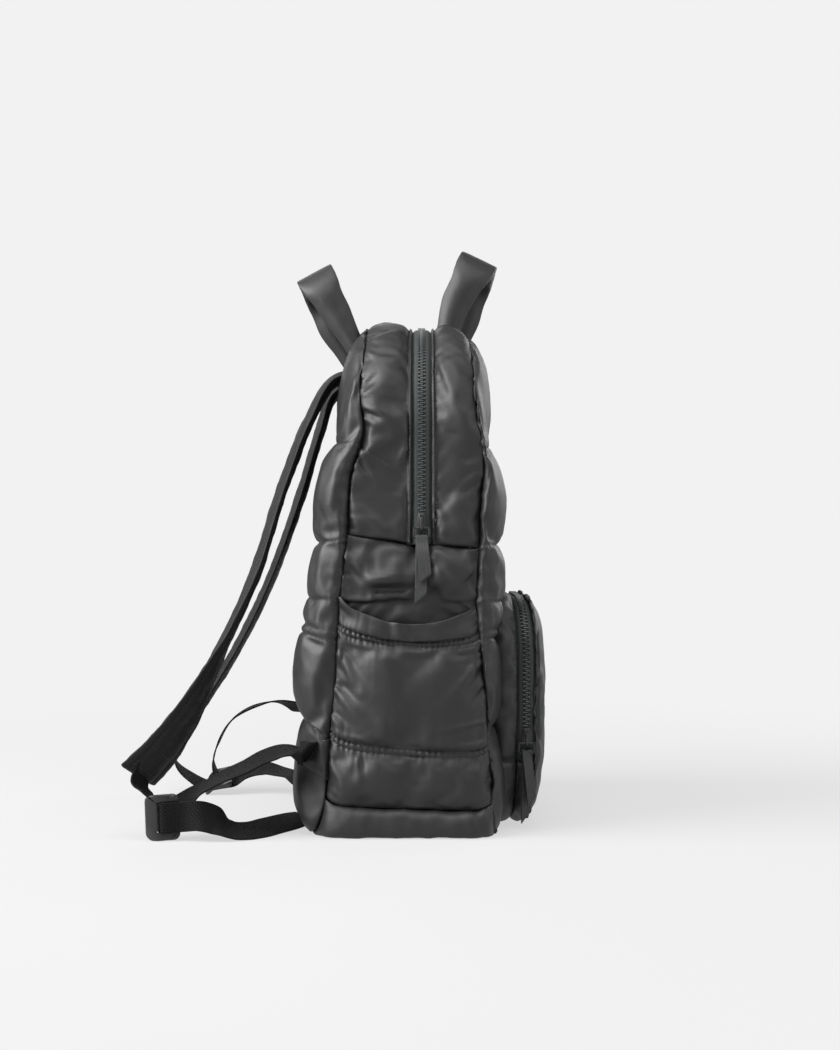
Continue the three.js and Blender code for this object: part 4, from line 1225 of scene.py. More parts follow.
def make_buckle(name, buckle):
    """A moulded ladder-lock: a frame with two slots, rounded rails and softened edges."""
    bm = grid_of(BUCKLE_COLUMNS, BUCKLE_ROWS, lambda x, y: (x, y, 0))
    middles = [(a + b) / 2 * MM for a, b in zip(BUCKLE_COLUMNS, BUCKLE_COLUMNS[1:])]
    slots = []
    for face in bm.faces:
        centre = face.calc_center_median()
        if abs(centre.y) < 10 * MM and min(abs(centre.x - middles[k]) for k in BUCKLE_SLOTS) < TINY:
            slots.append(face)
    bmesh.ops.delete(bm, geom=slots, context="FACES")
    raise_plate(bm, BUCKLE_THICKNESS)
    for vert in bm.verts:
        if abs(vert.co.y) > BUCKLE_RAIL * MM:
            vert.co.z *= BUCKLE_RAIL_SWELL
        if vert.co.x < BUCKLE_COLUMNS[0] * MM + TINY:
            vert.co.z -= BUCKLE_LEAN * MM
    ends = (BUCKLE_COLUMNS[0] * MM, BUCKLE_COLUMNS[-1] * MM)
    corners = []
    for edge in bm.edges:
        upright = (edge.verts[0].co - edge.verts[1].co).normalized().z
        middle = (edge.verts[0].co + edge.verts[1].co) / 2
        at_end = min(abs(middle.x - x) for x in ends) < TINY
        if abs(upright) > 0.9 and abs(middle.y) > BUCKLE_RAIL * MM and at_end:
            corners.append(edge)
    soften(bm, corners, BUCKLE_CORNER, 5)
    sharp = [edge for edge in bm.edges if edge.is_manifold and edge.calc_face_angle() > SHARP_ANGLE]
    soften(bm, sharp, BUCKLE_SOFT, 3)
    bmesh.ops.transform(bm, matrix=buckle.matrix(), verts=bm.verts)
    dress(object_from(name, bm), plastic_finish("moulded_plastic"), name, slot="moulded")


TAB_THICKNESS = 1.6
TAB_LIFT = 3
TAB_SEARCH_FROM = 0.2
TAB_SEARCH = 0.13
TAB_STITCHED = (0.72, 0.9)
# The tab's corners from the side, as depth and height: the ends of its sewn edge, then of its free edge.
TAB_SEWN = (Vector((60, 82)), Vector((61, 47)))
TAB_FREE = (Vector((68, 81.5)), Vector((82.5, 59.5)))
# Where a webbing's edges go in under its tab, as depth and height, then how far in and how high it lies.
WEBBING_EDGES = ((67.7, 79.8), (81.6, 60.3))
WEBBING_TUCKS = ((8, -1.5), (0, 1.0))


def lie_on_panel(panel, sign, y, z, lift):
    """The point of the back panel's side that lies at a depth and a height, with a lift outwards."""
    start = Vector((sign * TAB_SEARCH_FROM, y * MM, z * MM))
    hit = panel.ray_cast(start, Vector((-sign, 0, 0)), TAB_SEARCH)[0]
    x = abs(hit.x) / MM if hit else HALF_WIDTH - SEAM_INSET
    return Vector((sign * (x + lift), y, z))


def webbing_end(sign):
    """Rows of a webbing's sewn end, laid on the back panel under its tab."""
    panel = surface_of(bpy.data.objects["back_panel" + LOOK])
    rows = []
    for tuck, lift in WEBBING_TUCKS:
        spots = [(y - 0.8 * tuck, z - 0.6 * tuck) for y, z in WEBBING_EDGES]
        upper, lower = [lie_on_panel(panel, sign, y, z, lift) for y, z in spots]
        rows.append(Row((upper + lower) / 2, upper - lower))
    return rows


def make_anchor_tab(name, sign, look):
    """A nylon tab from the side seam, laid over the webbing's end on the back panel."""
    panel = surface_of(bpy.data.objects["back_panel" + LOOK])

    def place(t, u):
        spot = TAB_SEWN[0].lerp(TAB_SEWN[1], t).lerp(TAB_FREE[0].lerp(TAB_FREE[1], t), u)
        return lie_on_panel(panel, sign, *spot, TAB_LIFT * rounded(u / 0.5))

    lines = [[place(lerp(0.05, 0.95, t), u) * MM for t in parts(20)] for u in TAB_STITCHED]
    piece = Sheet(name, parts(10), parts(10), place).smoothed(2)
    thicken(piece, TAB_THICKNESS, 0.0)
    dress(piece, cloth_finish("satin_nylon"), name)
    sew(name + "_stitches", piece, lines, look)


# Zips


TOOTH_PITCH = 3.8
TOOTH_THICKNESS = 2.6
TOOTH_SOFT = 0.35
TOOTH_RISE = 0.5
# A tooth's outline: places across the zip, and half its width there.
TOOTH_OUTLINE = ((-3.2, 0.85), (-1.3, 0.55), (-0.2, 0.75), (1.4, 0.5))
TAPE_NEAR = 0.1
TAPE_UNDER = 4.5
TAPE_DIP = 2.6
TAPE_STEP = 0.1
SLIDER_Z = 266
SLIDER_REACH = 8.1
POCKET_SLIDER_Z = 80
PULL_HALF_WIDTH = 7.4
PULL_TOP = -4.5
PULL_BOTTOM = -14.5
PULL_RIM = 1.8
PULL_RISE = 0.6
PULL_THICKNESS = 1.6
PULL_SOFT = 0.5
# A slider's body, upper plate, bridge and foot: size, place, how soft its edges are and its taper.
SLIDER_BOXES = (
    ((10, 14, 2.2), (0, 0.4, -0.4), 0.8, 0.66),
    ((6.4, 12.5, 2.2), (0, 0.2, 1.0), 0.8, 0.75),
    ((2.6, 9.5, 2.0), (0, -1.4, 2.4), 0.9),
    ((2.6, 4, 2.4), (0, -5.2, 1.8), 0.9),
)
RIBBON_WIDTH = 10
RIBBON_THICKNESS = 0.9
RIBBON_SLANT = 0.03
RIBBON_TURN = 2
TAIL_SHARES = (0.12, 0.3, 0.55, 1)
# A ribbon's tails: how far each goes sideways and down, and how far it stands off the bag on its way.
Tail = namedtuple("Tail", "across drop rises")
MAIN_TAILS = (Tail(4, 38, (4.5, 8, 9.6, 10.4)), Tail(-1, 58, (1.8, 6.2, 8, 9.4)))
POCKET_TAILS = (Tail(4.5, 45, (5, 6.8, 7.6, 8)), Tail(-1, 60, (3.6, 5, 5.4, 5.4)))
POCKET_RIBBON_TURN = -38


def make_tape(name, stations, start, end, depth_at):
    """A woven zip tape from the teeth to where it is sewn in under the fabric."""
    columns = crowded(0, 1, TAPE_STEP, 0)

    def place(t, k):
        rise = TAPE_TOP - TAPE_DIP * clamp((t - 0.45) / 0.2)
        return band_point(stations[k], rise, lambda z: depth_at(lerp(start, end, t), z))

    sheet = Sheet(name, columns, range(len(stations)), place)
    piece = sheet.smoothed(1)
    thicken(piece, TAPE_THICKNESS)
    dress(piece, cloth_finish("zip_tape"), name, slot="zip_tape")


def tooth_mesh():
    """One moulded tooth: a clamp on the tape, a neck and a head that reaches over the middle."""
    bm = grid_of(TOOTH_OUTLINE, (-1, 1), lambda spot, side: (side * spot[1], spot[0], 0))
    raise_plate(bm, TOOTH_THICKNESS)
    soften(bm, [edge for edge in bm.edges if edge.calc_face_angle() > SHARP_ANGLE], TOOTH_SOFT, 1)
    mesh = bpy.data.meshes.new("tooth")
    bm.to_mesh(mesh)
    bm.free()
    return mesh


def make_teeth(name, stations, y, depth_at):
    """The zip's teeth, from both tapes by turns, joined in one mesh."""
    rise = TAPE_TOP + TOOTH_RISE
    line = [Vector(band_point(s, rise, lambda z: depth_at(y, z))) * MM for s in stations]
    outs = np.array([(s.out_x, 0, s.out_z) for s in stations])
    along = lengths_along(np.array([tuple(p) for p in line]))
    tooth = tooth_mesh()
    bm = bmesh.new()
    half = TOOTH_PITCH / 2 * MM
    for k, (spot, way) in enumerate(resampled(line, half)):
        here = (k + 0.5) * half
        out = Vector([np.interp(here, along, outs[:, n]) for n in range(3)])
        out = (out - way * out.dot(way)).normalized()
        side = -1 if k % 2 else 1
        turn = Matrix((way * side, out.cross(way) * side, out)).transposed().to_4x4()
        first = len(bm.verts)
        bm.from_mesh(tooth)
        bm.verts.ensure_lookup_table()
        bmesh.ops.transform(bm, matrix=Matrix.Translation(spot) @ turn, verts=bm.verts[first:])
    bpy.data.meshes.remove(tooth)
    piece = dress(object_from(name, bm), plastic_finish("zip_teeth"), name, slot="zip_teeth")
    piece.data.set_sharp_from_angle(angle=SHARP_ANGLE)


def softened_box(bm, size, at, soft, taper=1.0):
    """A box with softened edges, narrowed at its upper end, added to a bmesh."""
    made = bmesh.ops.create_cube(bm, size=1.0)["verts"]
    for vert in made:
        narrow = taper if vert.co.y > 0 else 1.0
        vert.co = Vector((vert.co.x * size[0] * narrow, vert.co.y * size[1], vert.co.z * size[2])) * MM
        vert.co += Vector(at) * MM
    soften(bm, list({edge for vert in made for edge in vert.link_edges}), soft, 3)


def slider_place(y, z, x):
    """Where a slider lies: on a zip at the left side, its length upright and its face outwards."""
    turn = Matrix(((0, -1, 0), (0, 0, 1), (-1, 0, 0))).transposed().to_4x4()
    return Matrix.Translation(Vector((x, y, z)) * MM) @ turn


def make_slider(name, place):
    """A slider: a tapered body, side lips, a bridge and the frame that its ribbon goes through."""
    bm = bmesh.new()
    for box in SLIDER_BOXES:
        softened_box(bm, *box)
    rise = PULL_RISE + PULL_THICKNESS / 2
    middle = (PULL_TOP + PULL_BOTTOM) / 2
    for side in (-1, 1):
        size = (PULL_RIM, PULL_TOP - PULL_BOTTOM, PULL_THICKNESS)
        softened_box(bm, size, (side * (PULL_HALF_WIDTH - PULL_RIM / 2), middle, rise), PULL_SOFT)
    for level in (PULL_TOP - PULL_RIM / 2, PULL_BOTTOM + PULL_RIM / 2):
        softened_box(bm, (2 * PULL_HALF_WIDTH, PULL_RIM, PULL_THICKNESS), (0, level, rise), PULL_SOFT)
    bmesh.ops.transform(bm, matrix=place, verts=bm.verts)
    dress(object_from(name, bm), plastic_finish("moulded_plastic"), name, slot="moulded")


def ribbon_rows(place, tails, turned):
    """Rows of a ribbon round the lower bar of a slider's frame, from its short tail to its long one."""
    bar_along = PULL_BOTTOM + PULL_RIM / 2
    bar_rise = PULL_RISE + PULL_THICKNESS / 2
    turned = math.radians(turned)
    across = place.to_3x3() @ Vector((math.cos(turned), 0, math.sin(turned)))

    def row(sideways, along, rise):
        return Row((place @ (Vector((sideways, along, rise)) * MM)) / MM, across, RIBBON_WIDTH)

    def tail(shape):
        return [row(shape.across * share, bar_along - shape.drop * share, rise)
                for share, rise in zip(TAIL_SHARES, shape.rises)]

    over = []
    for share in parts(TURN_STEPS):
        angle = math.pi * share
        along = bar_along + RIBBON_TURN * math.sin(angle)
        over.append(row(0, along, bar_rise + RIBBON_TURN * math.cos(angle)))
    return [*reversed(tail(tails[0])), *over, *tail(tails[1])]


def make_zip(prefix, stations, tape_stations, y, reach, slider_at, tails, turned, depth_at):
    """A whole zip: two tapes, the teeth, the slider and its ribbon."""
    near, far = TAPE_NEAR, reach + TAPE_UNDER
    make_tape(prefix + "zip_tape_back", tape_stations, y + near, y + far, depth_at)
    make_tape(prefix + "zip_tape_front", tape_stations, y - near, y - far, depth_at)
    make_teeth(prefix + "zip_chain", stations, y, depth_at)
    make_slider(prefix + "zip_slider", slider_at)
    rows = ribbon_rows(slider_at, tails, turned)
    finish = cloth_finish("ribbed_ribbon")
    make_strip(prefix + "zip_ribbon", rows, RIBBON_THICKNESS, finish, "ribbon", RIBBON_SLANT)


# The front pocket


def pocket_depth(y, z):
    """Depth of a point of the pocket, which is shallower near its bottom and its top."""
    share = lerp(0.7, 1, rounded(z / 100)) * lerp(0.84, 1, rounded((POCKET_TOP - z) / 60))
    return POCKET_ROOT + (y - POCKET_ROOT) * share


def pocket_arc(x, z, radius, start, step):
    """Stations round a quarter of a corner."""
    count = max(3, round(radius * math.pi / 2 / step))
    made = []
    for k in range(count + 1):
        turn = math.radians(start + 90 * k / count)
        out_x, out_z = math.cos(turn), math.sin(turn)
        made.append(Station(x + radius * out_x, z + radius * out_z, out_x, out_z))
    return made


def pocket_sides(sign, start, end, step):
    """Stations up or down a side of the pocket."""
    return [Station(sign * POCKET_HALF_WIDTH, z, sign, 0) for z in crowded(start, end, step, 0)]


def pocket_round(up, level, step):
    """Stations over the pocket's top, or under it if up is -1, from a height at one side to the other."""
    corner, edge = POCKET_BOTTOM_CORNER, POCKET_BOTTOM
    if up > 0:
        corner, edge = POCKET_TOP_CORNER, POCKET_TOP
    x = POCKET_HALF_WIDTH - corner
    z = edge - up * corner
    start = 90 - 90 * up
    flat = [Station(-up * at, edge, 0, up) for at in crowded(-x, x, step, 0)][1:-1]
    return [
        *pocket_sides(up, level, z, step)[:-1], *pocket_arc(up * x, z, corner, start, step), *flat,
        *pocket_arc(-up * x, z, corner, start + 90, step), *pocket_sides(-up, z, level, step)[1:],
    ]


POCKET_INSIDE = Vector((0, -95, 100))
POCKET_SWELL = 5
POCKET_WALL = 2.0
POCKET_BAND_STEP = 0.12
POCKET_STITCHED = 0.9
POCKET_FACE_STEPS = (52, 48)
POCKET_FACE_ROUND = 22


def make_pocket_band(name, stations, start, end, look):
    """A padded band round the pocket between two depths."""
    columns = crowded(0, 1, POCKET_BAND_STEP, 0.6)

    def place(t, k):
        station = stations[k]
        seam = bump(station.z, POCKET_ZIP_END, 3)
        rise = POCKET_SWELL * swell(t) * (1 - seam) - 1.5 - seam
        return band_point(station, rise, lambda z: pocket_depth(lerp(start, end, t), z))

    sheet = Sheet(name, columns, range(len(stations)), place, POCKET_INSIDE)
    sheet.settle(look, cap=3)
    stitched = [sheet.column(POCKET_STITCHED)]
    seams = [Seam(0, sheet.across[-1], 0.6, True, 0.6), Seam(0, sheet.across[0], 0.5)]
    make_cover(sheet, name, look, seams, start, (40, 0.5), 0.5, wall=POCKET_WALL, lines=stitched)


def make_pocket_face(look):
    """The pocket's padded face, gathered along its zip."""
    box = Outline(
        POCKET_HALF_WIDTH - 1, POCKET_BOTTOM + 1, POCKET_TOP - 1,
        POCKET_TOP_CORNER - 1, POCKET_BOTTOM_CORNER - 1,
    )
    across, up = ([math.sin(math.pi / 2 * lerp(-1, 1, t)) for t in parts(n)] for n in POCKET_FACE_STEPS)

    def place(c, share):
        z = lerp(box.bottom, box.top, share)
        above = z - (box.top - box.top_corner)
        below = box.bottom + box.bottom_corner - z
        radius = box.top_corner if above > 0 else box.bottom_corner
        drawn = radius - math.sqrt(max(0, radius ** 2 - max(0, above, below) ** 2))
        x = c * (box.half_width - drawn)
        out = rounded(max(0, edge_of(x, z, box)[0]) / POCKET_FACE_ROUND)
        return x, pocket_depth(POCKET_ZIP_FRONT - GAP - POCKET_BULGE * out, z), z

    sheet = Sheet("pocket_face", across, [0.5 + 0.5 * t for t in up], place, POCKET_INSIDE)
    sheet.settle(look, cap=4)
    seams = [Seam(0, sheet.across[end], 0.8, True) for end in (0, -1)] + [Seam(1, sheet.up[-1], 0.6, True)]
    make_cover(sheet, "pocket_face", look, seams, 0.0, (45, 0.9), 0.6, wall=POCKET_WALL)


# Finishes


def new_finish(name, roughness):
    """An empty material with a shader, and its tree and shader."""
    finish = bpy.data.materials.new(name)
    finish.use_nodes = True
    tree = finish.node_tree
    shader = tree.nodes["Principled BSDF"]
    shader.inputs["Roughness"].default_value = roughness
    return finish, tree, shader


def add_node(tree, kind, **settings):
    """A node with its settings made."""
    made = tree.nodes.new(kind)
    for key, value in settings.items():
        setattr(made, key, value)
    return made


def maths(tree, operation, first, second=None):
    """A maths node on sockets or plain values."""
    made = add_node(tree, "ShaderNodeMath", operation=operation)
    for socket, value in zip(made.inputs, (first, second)):
        if hasattr(value, "is_output"):
            tree.links.new(value, socket)
        elif value is not None:
            socket.default_value = value
    return made.outputs[0]


def new_group(name, inputs, outputs):
    """An empty shader node group with named float and vector sockets."""
    group = bpy.data.node_groups.new(name, "ShaderNodeTree")
    for label, kind in inputs:
        group.interface.new_socket(label, in_out="INPUT", socket_type=kind)
    for label, kind in outputs:
        group.interface.new_socket(label, in_out="OUTPUT", socket_type=kind)
    return group, add_node(group, "NodeGroupInput"), add_node(group, "NodeGroupOutput")


FLOAT = "NodeSocketFloat"
VECTOR = "NodeSocketVector"


def weave_group():
    """Threads that pass over and under each other, from a cut's UVs."""
    found = bpy.data.node_groups.get("Woven threads")
    if found:
        return found
    inputs = [("Cut", VECTOR), ("Across per metre", FLOAT), ("Along per metre", FLOAT)]
    group, source, target = new_group("Woven threads", inputs, [("Height", FLOAT)])
    parts = add_node(group, "ShaderNodeSeparateXYZ")
    group.links.new(source.outputs["Cut"], parts.inputs[0])
    across = maths(group, "MULTIPLY", parts.outputs[0], source.outputs["Across per metre"])
    along = maths(group, "MULTIPLY", parts.outputs[1], source.outputs["Along per metre"])
    joined = add_node(group, "ShaderNodeCombineXYZ")
    group.links.new(across, joined.inputs[0])
    group.links.new(along, joined.inputs[1])
    checks = add_node(group, "ShaderNodeTexChecker")
    checks.inputs["Scale"].default_value = 1.0
    group.links.new(joined.outputs[0], checks.inputs["Vector"])
    warp = maths(group, "ABSOLUTE", maths(group, "SINE", maths(group, "MULTIPLY", across, math.pi)))
    weft = maths(group, "ABSOLUTE", maths(group, "SINE", maths(group, "MULTIPLY", along, math.pi)))
    over = maths(group, "MULTIPLY", warp, checks.outputs["Fac"])
    under = maths(group, "MULTIPLY", weft, maths(group, "SUBTRACT", 1.0, checks.outputs["Fac"]))
    group.links.new(maths(group, "ADD", over, under), target.inputs["Height"])
    return group


def patches_group():
    """Soft uneven patches and a fine crinkle, from a piece's own coordinates."""
    found = bpy.data.node_groups.get("Cloth patches")
    if found:
        return found
    inputs = [("Place", VECTOR), ("Patch scale", FLOAT), ("Crinkle scale", FLOAT)]
    group, source, target = new_group("Cloth patches", inputs, [("Mask", FLOAT), ("Height", FLOAT)])
    for label, scale, detail in (("Mask", "Patch scale", 3.0), ("Height", "Crinkle scale", 4.0)):
        spots = add_node(group, "ShaderNodeTexNoise")
        spots.inputs["Detail"].default_value = detail
        group.links.new(source.outputs["Place"], spots.inputs["Vector"])
        group.links.new(source.outputs[scale], spots.inputs["Scale"])
        group.links.new(spots.outputs["Fac"], target.inputs[label])
    return group


def place_group(tree, group, **values):
    """A node group in a material, with its values set."""
    made = add_node(tree, "ShaderNodeGroup", node_tree=group)
    for label, value in values.items():
        made.inputs[label.replace("_", " ")].default_value = value
    return made


def tint(tree, shader, mask, dark, light):
    """A base colour that goes from dark to light with a mask."""
    mix = add_node(tree, "ShaderNodeMix", data_type="RGBA")
    mix.inputs["A"].default_value = (*dark, 1)
    mix.inputs["B"].default_value = (*light, 1)
    tree.links.new(mask, mix.inputs["Factor"])
    tree.links.new(mix.outputs["Result"], shader.inputs["Base Color"])


def spread(tree, mask, low, high):
    """A value that goes from low to high with a mask."""
    made = add_node(tree, "ShaderNodeMapRange")
    made.inputs["From Min"].default_value = 0.3
    made.inputs["From Max"].default_value = 0.7
    made.inputs["To Min"].default_value = low
    made.inputs["To Max"].default_value = high
    tree.links.new(mask, made.inputs["Value"])
    return made.outputs[0]


def emboss(tree, shader, *heights):
    """Bumps one on another. Each is a height, how strongly it shows and its depth in metres."""
    normal = None
    for height, strength, depth in heights:
        bump = add_node(tree, "ShaderNodeBump")
        bump.inputs["Strength"].default_value = strength
        bump.inputs["Distance"].default_value = depth
        tree.links.new(height, bump.inputs["Height"])
        if normal:
            tree.links.new(normal, bump.inputs["Normal"])
        normal = bump.outputs[0]
    tree.links.new(normal, shader.inputs["Normal"])


# A cloth: its colour's setting, how much lighter its patches are, its roughness from patch to patch,
# its threads per metre, how deep its weave is, how strong its crinkle is, and its shine.
Cloth = namedtuple("Cloth", "colour lighter roughness threads weave_depth crinkle shine", defaults=(0.5,))
CLOTHS = {
    "satin_nylon": Cloth("nylon", 1.35, (0.5, 0.58), (2600.0, 2600.0), 0.00002, 0.25),
    "strap_nylon": Cloth("nylon", 1.35, (0.58, 0.66), (2600.0, 2600.0), 0.00002, 0.25, 0.26),
    "zip_tape": Cloth("tape", 1.3, (0.7, 0.8), (1600.0, 900.0), 0.00012, 0.1),
    "woven_webbing": Cloth("webbing", 1.5, (0.7, 0.8), (560.0, 620.0), 0.0005, 0.1, 0.14),
    "ribbed_ribbon": Cloth("ribbon", 1.3, (0.55, 0.65), (400.0, 1100.0), 0.0002, 0.1),
}
CLOTH_SCALES = (14.0, 160.0)
THREAD_SCALES = (60.0, 2500.0)
PLASTIC_PATCH_SCALE = 90.0
CRINKLE_DEPTH = 0.0006
WEAVE_STRENGTH = 0.6
GRAIN_DEPTH = 0.0002
# A plastic: its colour's setting, its roughness and its grain.
Plastic = namedtuple("Plastic", "colour roughness grain")
PLASTICS = {
    "moulded_plastic": Plastic("moulded", 0.38, 1400.0),
    "zip_teeth": Plastic("teeth", 0.3, 2200.0),
}


def two_tones(setting, lighter):
    """A colour that a setting gives, and a lighter one."""
    colour = getattr(bpy.context.scene.backpack_looks, setting)
    return colour, [c * lighter for c in colour]


def add_patches(tree, coords, patch_scale, crinkle_scale):
    """Patches and crinkle on a piece's own coordinates."""
    patches = place_group(tree, patches_group(), Patch_scale=patch_scale, Crinkle_scale=crinkle_scale)
    tree.links.new(coords.outputs["Object"], patches.inputs["Place"])
    return patches.outputs


def cloth_finish(name):
    """A woven cloth: two tones in soft patches, threads on its cut and a fine crinkle."""
    found = bpy.data.materials.get(name)
    if found:
        return found
    cloth = CLOTHS[name]
    finish, tree, shader = new_finish(name, cloth.roughness[0])
    shader.inputs["Specular IOR Level"].default_value = cloth.shine
    coords = add_node(tree, "ShaderNodeTexCoord")
    patches = add_patches(tree, coords, *CLOTH_SCALES)
    across, along = cloth.threads
    weave = place_group(tree, weave_group(), Across_per_metre=across, Along_per_metre=along)
    tree.links.new(coords.outputs["UV"], weave.inputs["Cut"])
    tint(tree, shader, spread(tree, patches["Mask"], 0.0, 1.0), *two_tones(cloth.colour, cloth.lighter))
    tree.links.new(spread(tree, patches["Mask"], *cloth.roughness), shader.inputs["Roughness"])
    crinkle = (patches["Height"], cloth.crinkle, CRINKLE_DEPTH)
    emboss(tree, shader, crinkle, (weave.outputs["Height"], WEAVE_STRENGTH, cloth.weave_depth))
    return finish


def thread_finish():
    """Sewing thread."""
    found = bpy.data.materials.get("sewing_thread")
    if found:
        return found
    finish, tree, shader = new_finish("sewing_thread", 0.5)
    patches = add_patches(tree, add_node(tree, "ShaderNodeTexCoord"), *THREAD_SCALES)
    tint(tree, shader, patches["Mask"], *two_tones("thread", 1.6))
    emboss(tree, shader, (patches["Height"], 0.5, GRAIN_DEPTH))
    return finish


def plastic_finish(name):
    """Moulded plastic with a fine grain."""
    found = bpy.data.materials.get(name)
    if found:
        return found
    setting, roughness, grain = PLASTICS[name]
    finish, tree, shader = new_finish(name, roughness)
    patches = add_patches(tree, add_node(tree, "ShaderNodeTexCoord"), PLASTIC_PATCH_SCALE, grain)
    tint(tree, shader, patches["Mask"], *two_tones(setting, 1.4))
    uneven = spread(tree, patches["Mask"], roughness - 0.05, roughness + 0.08)
    tree.links.new(uneven, shader.inputs["Roughness"])
    emboss(tree, shader, (patches["Height"], 0.25, GRAIN_DEPTH))
    return finish


# Settings that a user would change


class BackpackLooks(bpy.types.PropertyGroup):
    """Sizes of the fabric's detail, and colours."""

    cell: FloatProperty(
        name="Cell", description="Size of the fabric's grid before it is made finer, in millimetres",
        default=4.5, min=2)
    slack: FloatProperty(
        name="Slack", description="How much larger the fabric is cut than the frame",
        default=0.05, min=0, subtype="FACTOR")
    pressure: FloatProperty(
        name="Filling", description="How hard the filling pushes the fabric out",
        default=3.0, min=0)
    pucker_pitch: FloatProperty(
        name="Pucker pitch", description="Distance between small folds along a stitch line",
        default=0.0062, unit="LENGTH")
    pucker_reach: FloatProperty(
        name="Pucker reach", description="Distance from a stitch line to its highest folds",
        default=0.0032, unit="LENGTH")
    stitch_pitch: FloatProperty(
        name="Stitch pitch", description="Distance from one stitch to the next",
        default=0.0034, unit="LENGTH")
    stitch_length: FloatProperty(
        name="Stitch length", description="Length of a stitch that shows",
        default=0.0027, unit="LENGTH")
    thread_width: FloatProperty(
        name="Thread width", description="Width of the sewing thread",
        default=0.0006, unit="LENGTH")
    nylon: FloatVectorProperty(
        name="Nylon", description="Colour of the nylon",
        default=(0.0075, 0.0077, 0.0075), subtype="COLOR", min=0, max=1)
    tape: FloatVectorProperty(
        name="Zip tape", description="Colour of the zip tape",
        default=(0.007, 0.009, 0.0096), subtype="COLOR", min=0, max=1)
    teeth: FloatVectorProperty(
        name="Teeth", description="Colour of the zip teeth",
        default=(0.28, 0.286, 0.286), subtype="COLOR", min=0, max=1)
    moulded: FloatVectorProperty(
        name="Plastic", description="Colour of the fittings",
        default=(0.012, 0.012, 0.013), subtype="COLOR", min=0, max=1)
    webbing: FloatVectorProperty(
        name="Webbing", description="Colour of the webbing",
        default=(0.0035, 0.0035, 0.004), subtype="COLOR", min=0, max=1)
    ribbon: FloatVectorProperty(
        name="Ribbon", description="Colour of the ribbons",
        default=(0.012, 0.0125, 0.013), subtype="COLOR", min=0, max=1)
    thread: FloatVectorProperty(
        name="Thread", description="Colour of the thread",
        default=(0.022, 0.022, 0.022), subtype="COLOR", min=0, max=1)


# Operators


class BACKPACK_OT_panels(bpy.types.Operator):
    """Makes the quilted front and back panels"""

    bl_idname = "backpack.panels"
    bl_label = "Panels"

    def execute(self, context):
        for side in ("back", "front"):
            make_panel(side, context.scene.backpack_looks)
        return {"FINISHED"}


class BACKPACK_OT_gusset(bpy.types.Operator):
    """Makes the two padded halves of the upper gusset"""

    bl_idname = "backpack.gusset"
    bl_label = "Gusset"

    def execute(self, context):
        for side in ("back", "front"):
            make_gusset(side, context.scene.backpack_looks)
        return {"FINISHED"}


class BACKPACK_OT_sides(bpy.types.Operator):
    """Makes the side panels, the slip pockets and the base"""

    bl_idname = "backpack.sides"
    bl_label = "Sides and base"

    def execute(self, context):
        look = context.scene.backpack_looks
        for name, sign in (("left", -1), ("right", 1)):
            make_side_panel("side_panel_" + name, sign, look)
            make_slip_pocket("slip_pocket_" + name, sign, look)
        make_base(look)
        return {"FINISHED"}


class BACKPACK_OT_front_pocket(bpy.types.Operator):
    """Makes the front pocket's bands and face"""

    bl_idname = "backpack.front_pocket"
    bl_label = "Front pocket"

    def execute(self, context):
        look = context.scene.backpack_looks
        ring = pocket_round(1, POCKET_ZIP_END, look.cell) + pocket_round(-1, POCKET_ZIP_END, look.cell)[1:]
        make_pocket_band("pocket_gusset", ring, POCKET_ROOT, POCKET_ZIP_BACK, look)
        below = pocket_round(-1, POCKET_ZIP_END - GAP, look.cell)
        make_pocket_band("pocket_gusset_lower", below, POCKET_ZIP_BACK - GAP, POCKET_ZIP_FRONT, look)
        make_pocket_face(look)
        return {"FINISHED"}


class BACKPACK_OT_zips(bpy.types.Operator):
    """Makes both zips with their sliders and ribbons"""

    bl_idname = "backpack.zips"
    bl_label = "Zips"

    def execute(self, context):
        step = context.scene.backpack_looks.cell
        chain = over_top(SLIDER_Z + SLIDER_REACH + GAP, step)
        place = slider_place(ZIP_Y, SLIDER_Z, -HALF_WIDTH)
        tape = over_top(ZIP_END_Z + GAP, step)
        make_zip("", chain, tape, ZIP_Y, ZIP_HALF_WIDTH, place, MAIN_TAILS, 0, lambda y, z: y)
        middle = (POCKET_ZIP_BACK + POCKET_ZIP_FRONT) / 2
        reach = (POCKET_ZIP_BACK - POCKET_ZIP_FRONT) / 2 - GAP
        chain = pocket_round(1, POCKET_SLIDER_Z + SLIDER_REACH + GAP, step)
        place = slider_place(middle, POCKET_SLIDER_Z, -POCKET_HALF_WIDTH)
        tape = pocket_round(1, POCKET_ZIP_END, step)
        turned = POCKET_RIBBON_TURN
        make_zip("pocket_", chain, tape, middle, reach, place, POCKET_TAILS, turned, pocket_depth)
        return {"FINISHED"}


class BACKPACK_OT_handles(bpy.types.Operator):
    """Makes the two grab handles"""

    bl_idname = "backpack.handles"
    bl_label = "Handles"

    def execute(self, context):
        for handle in HANDLES:
            make_handle(handle)
        return {"FINISHED"}


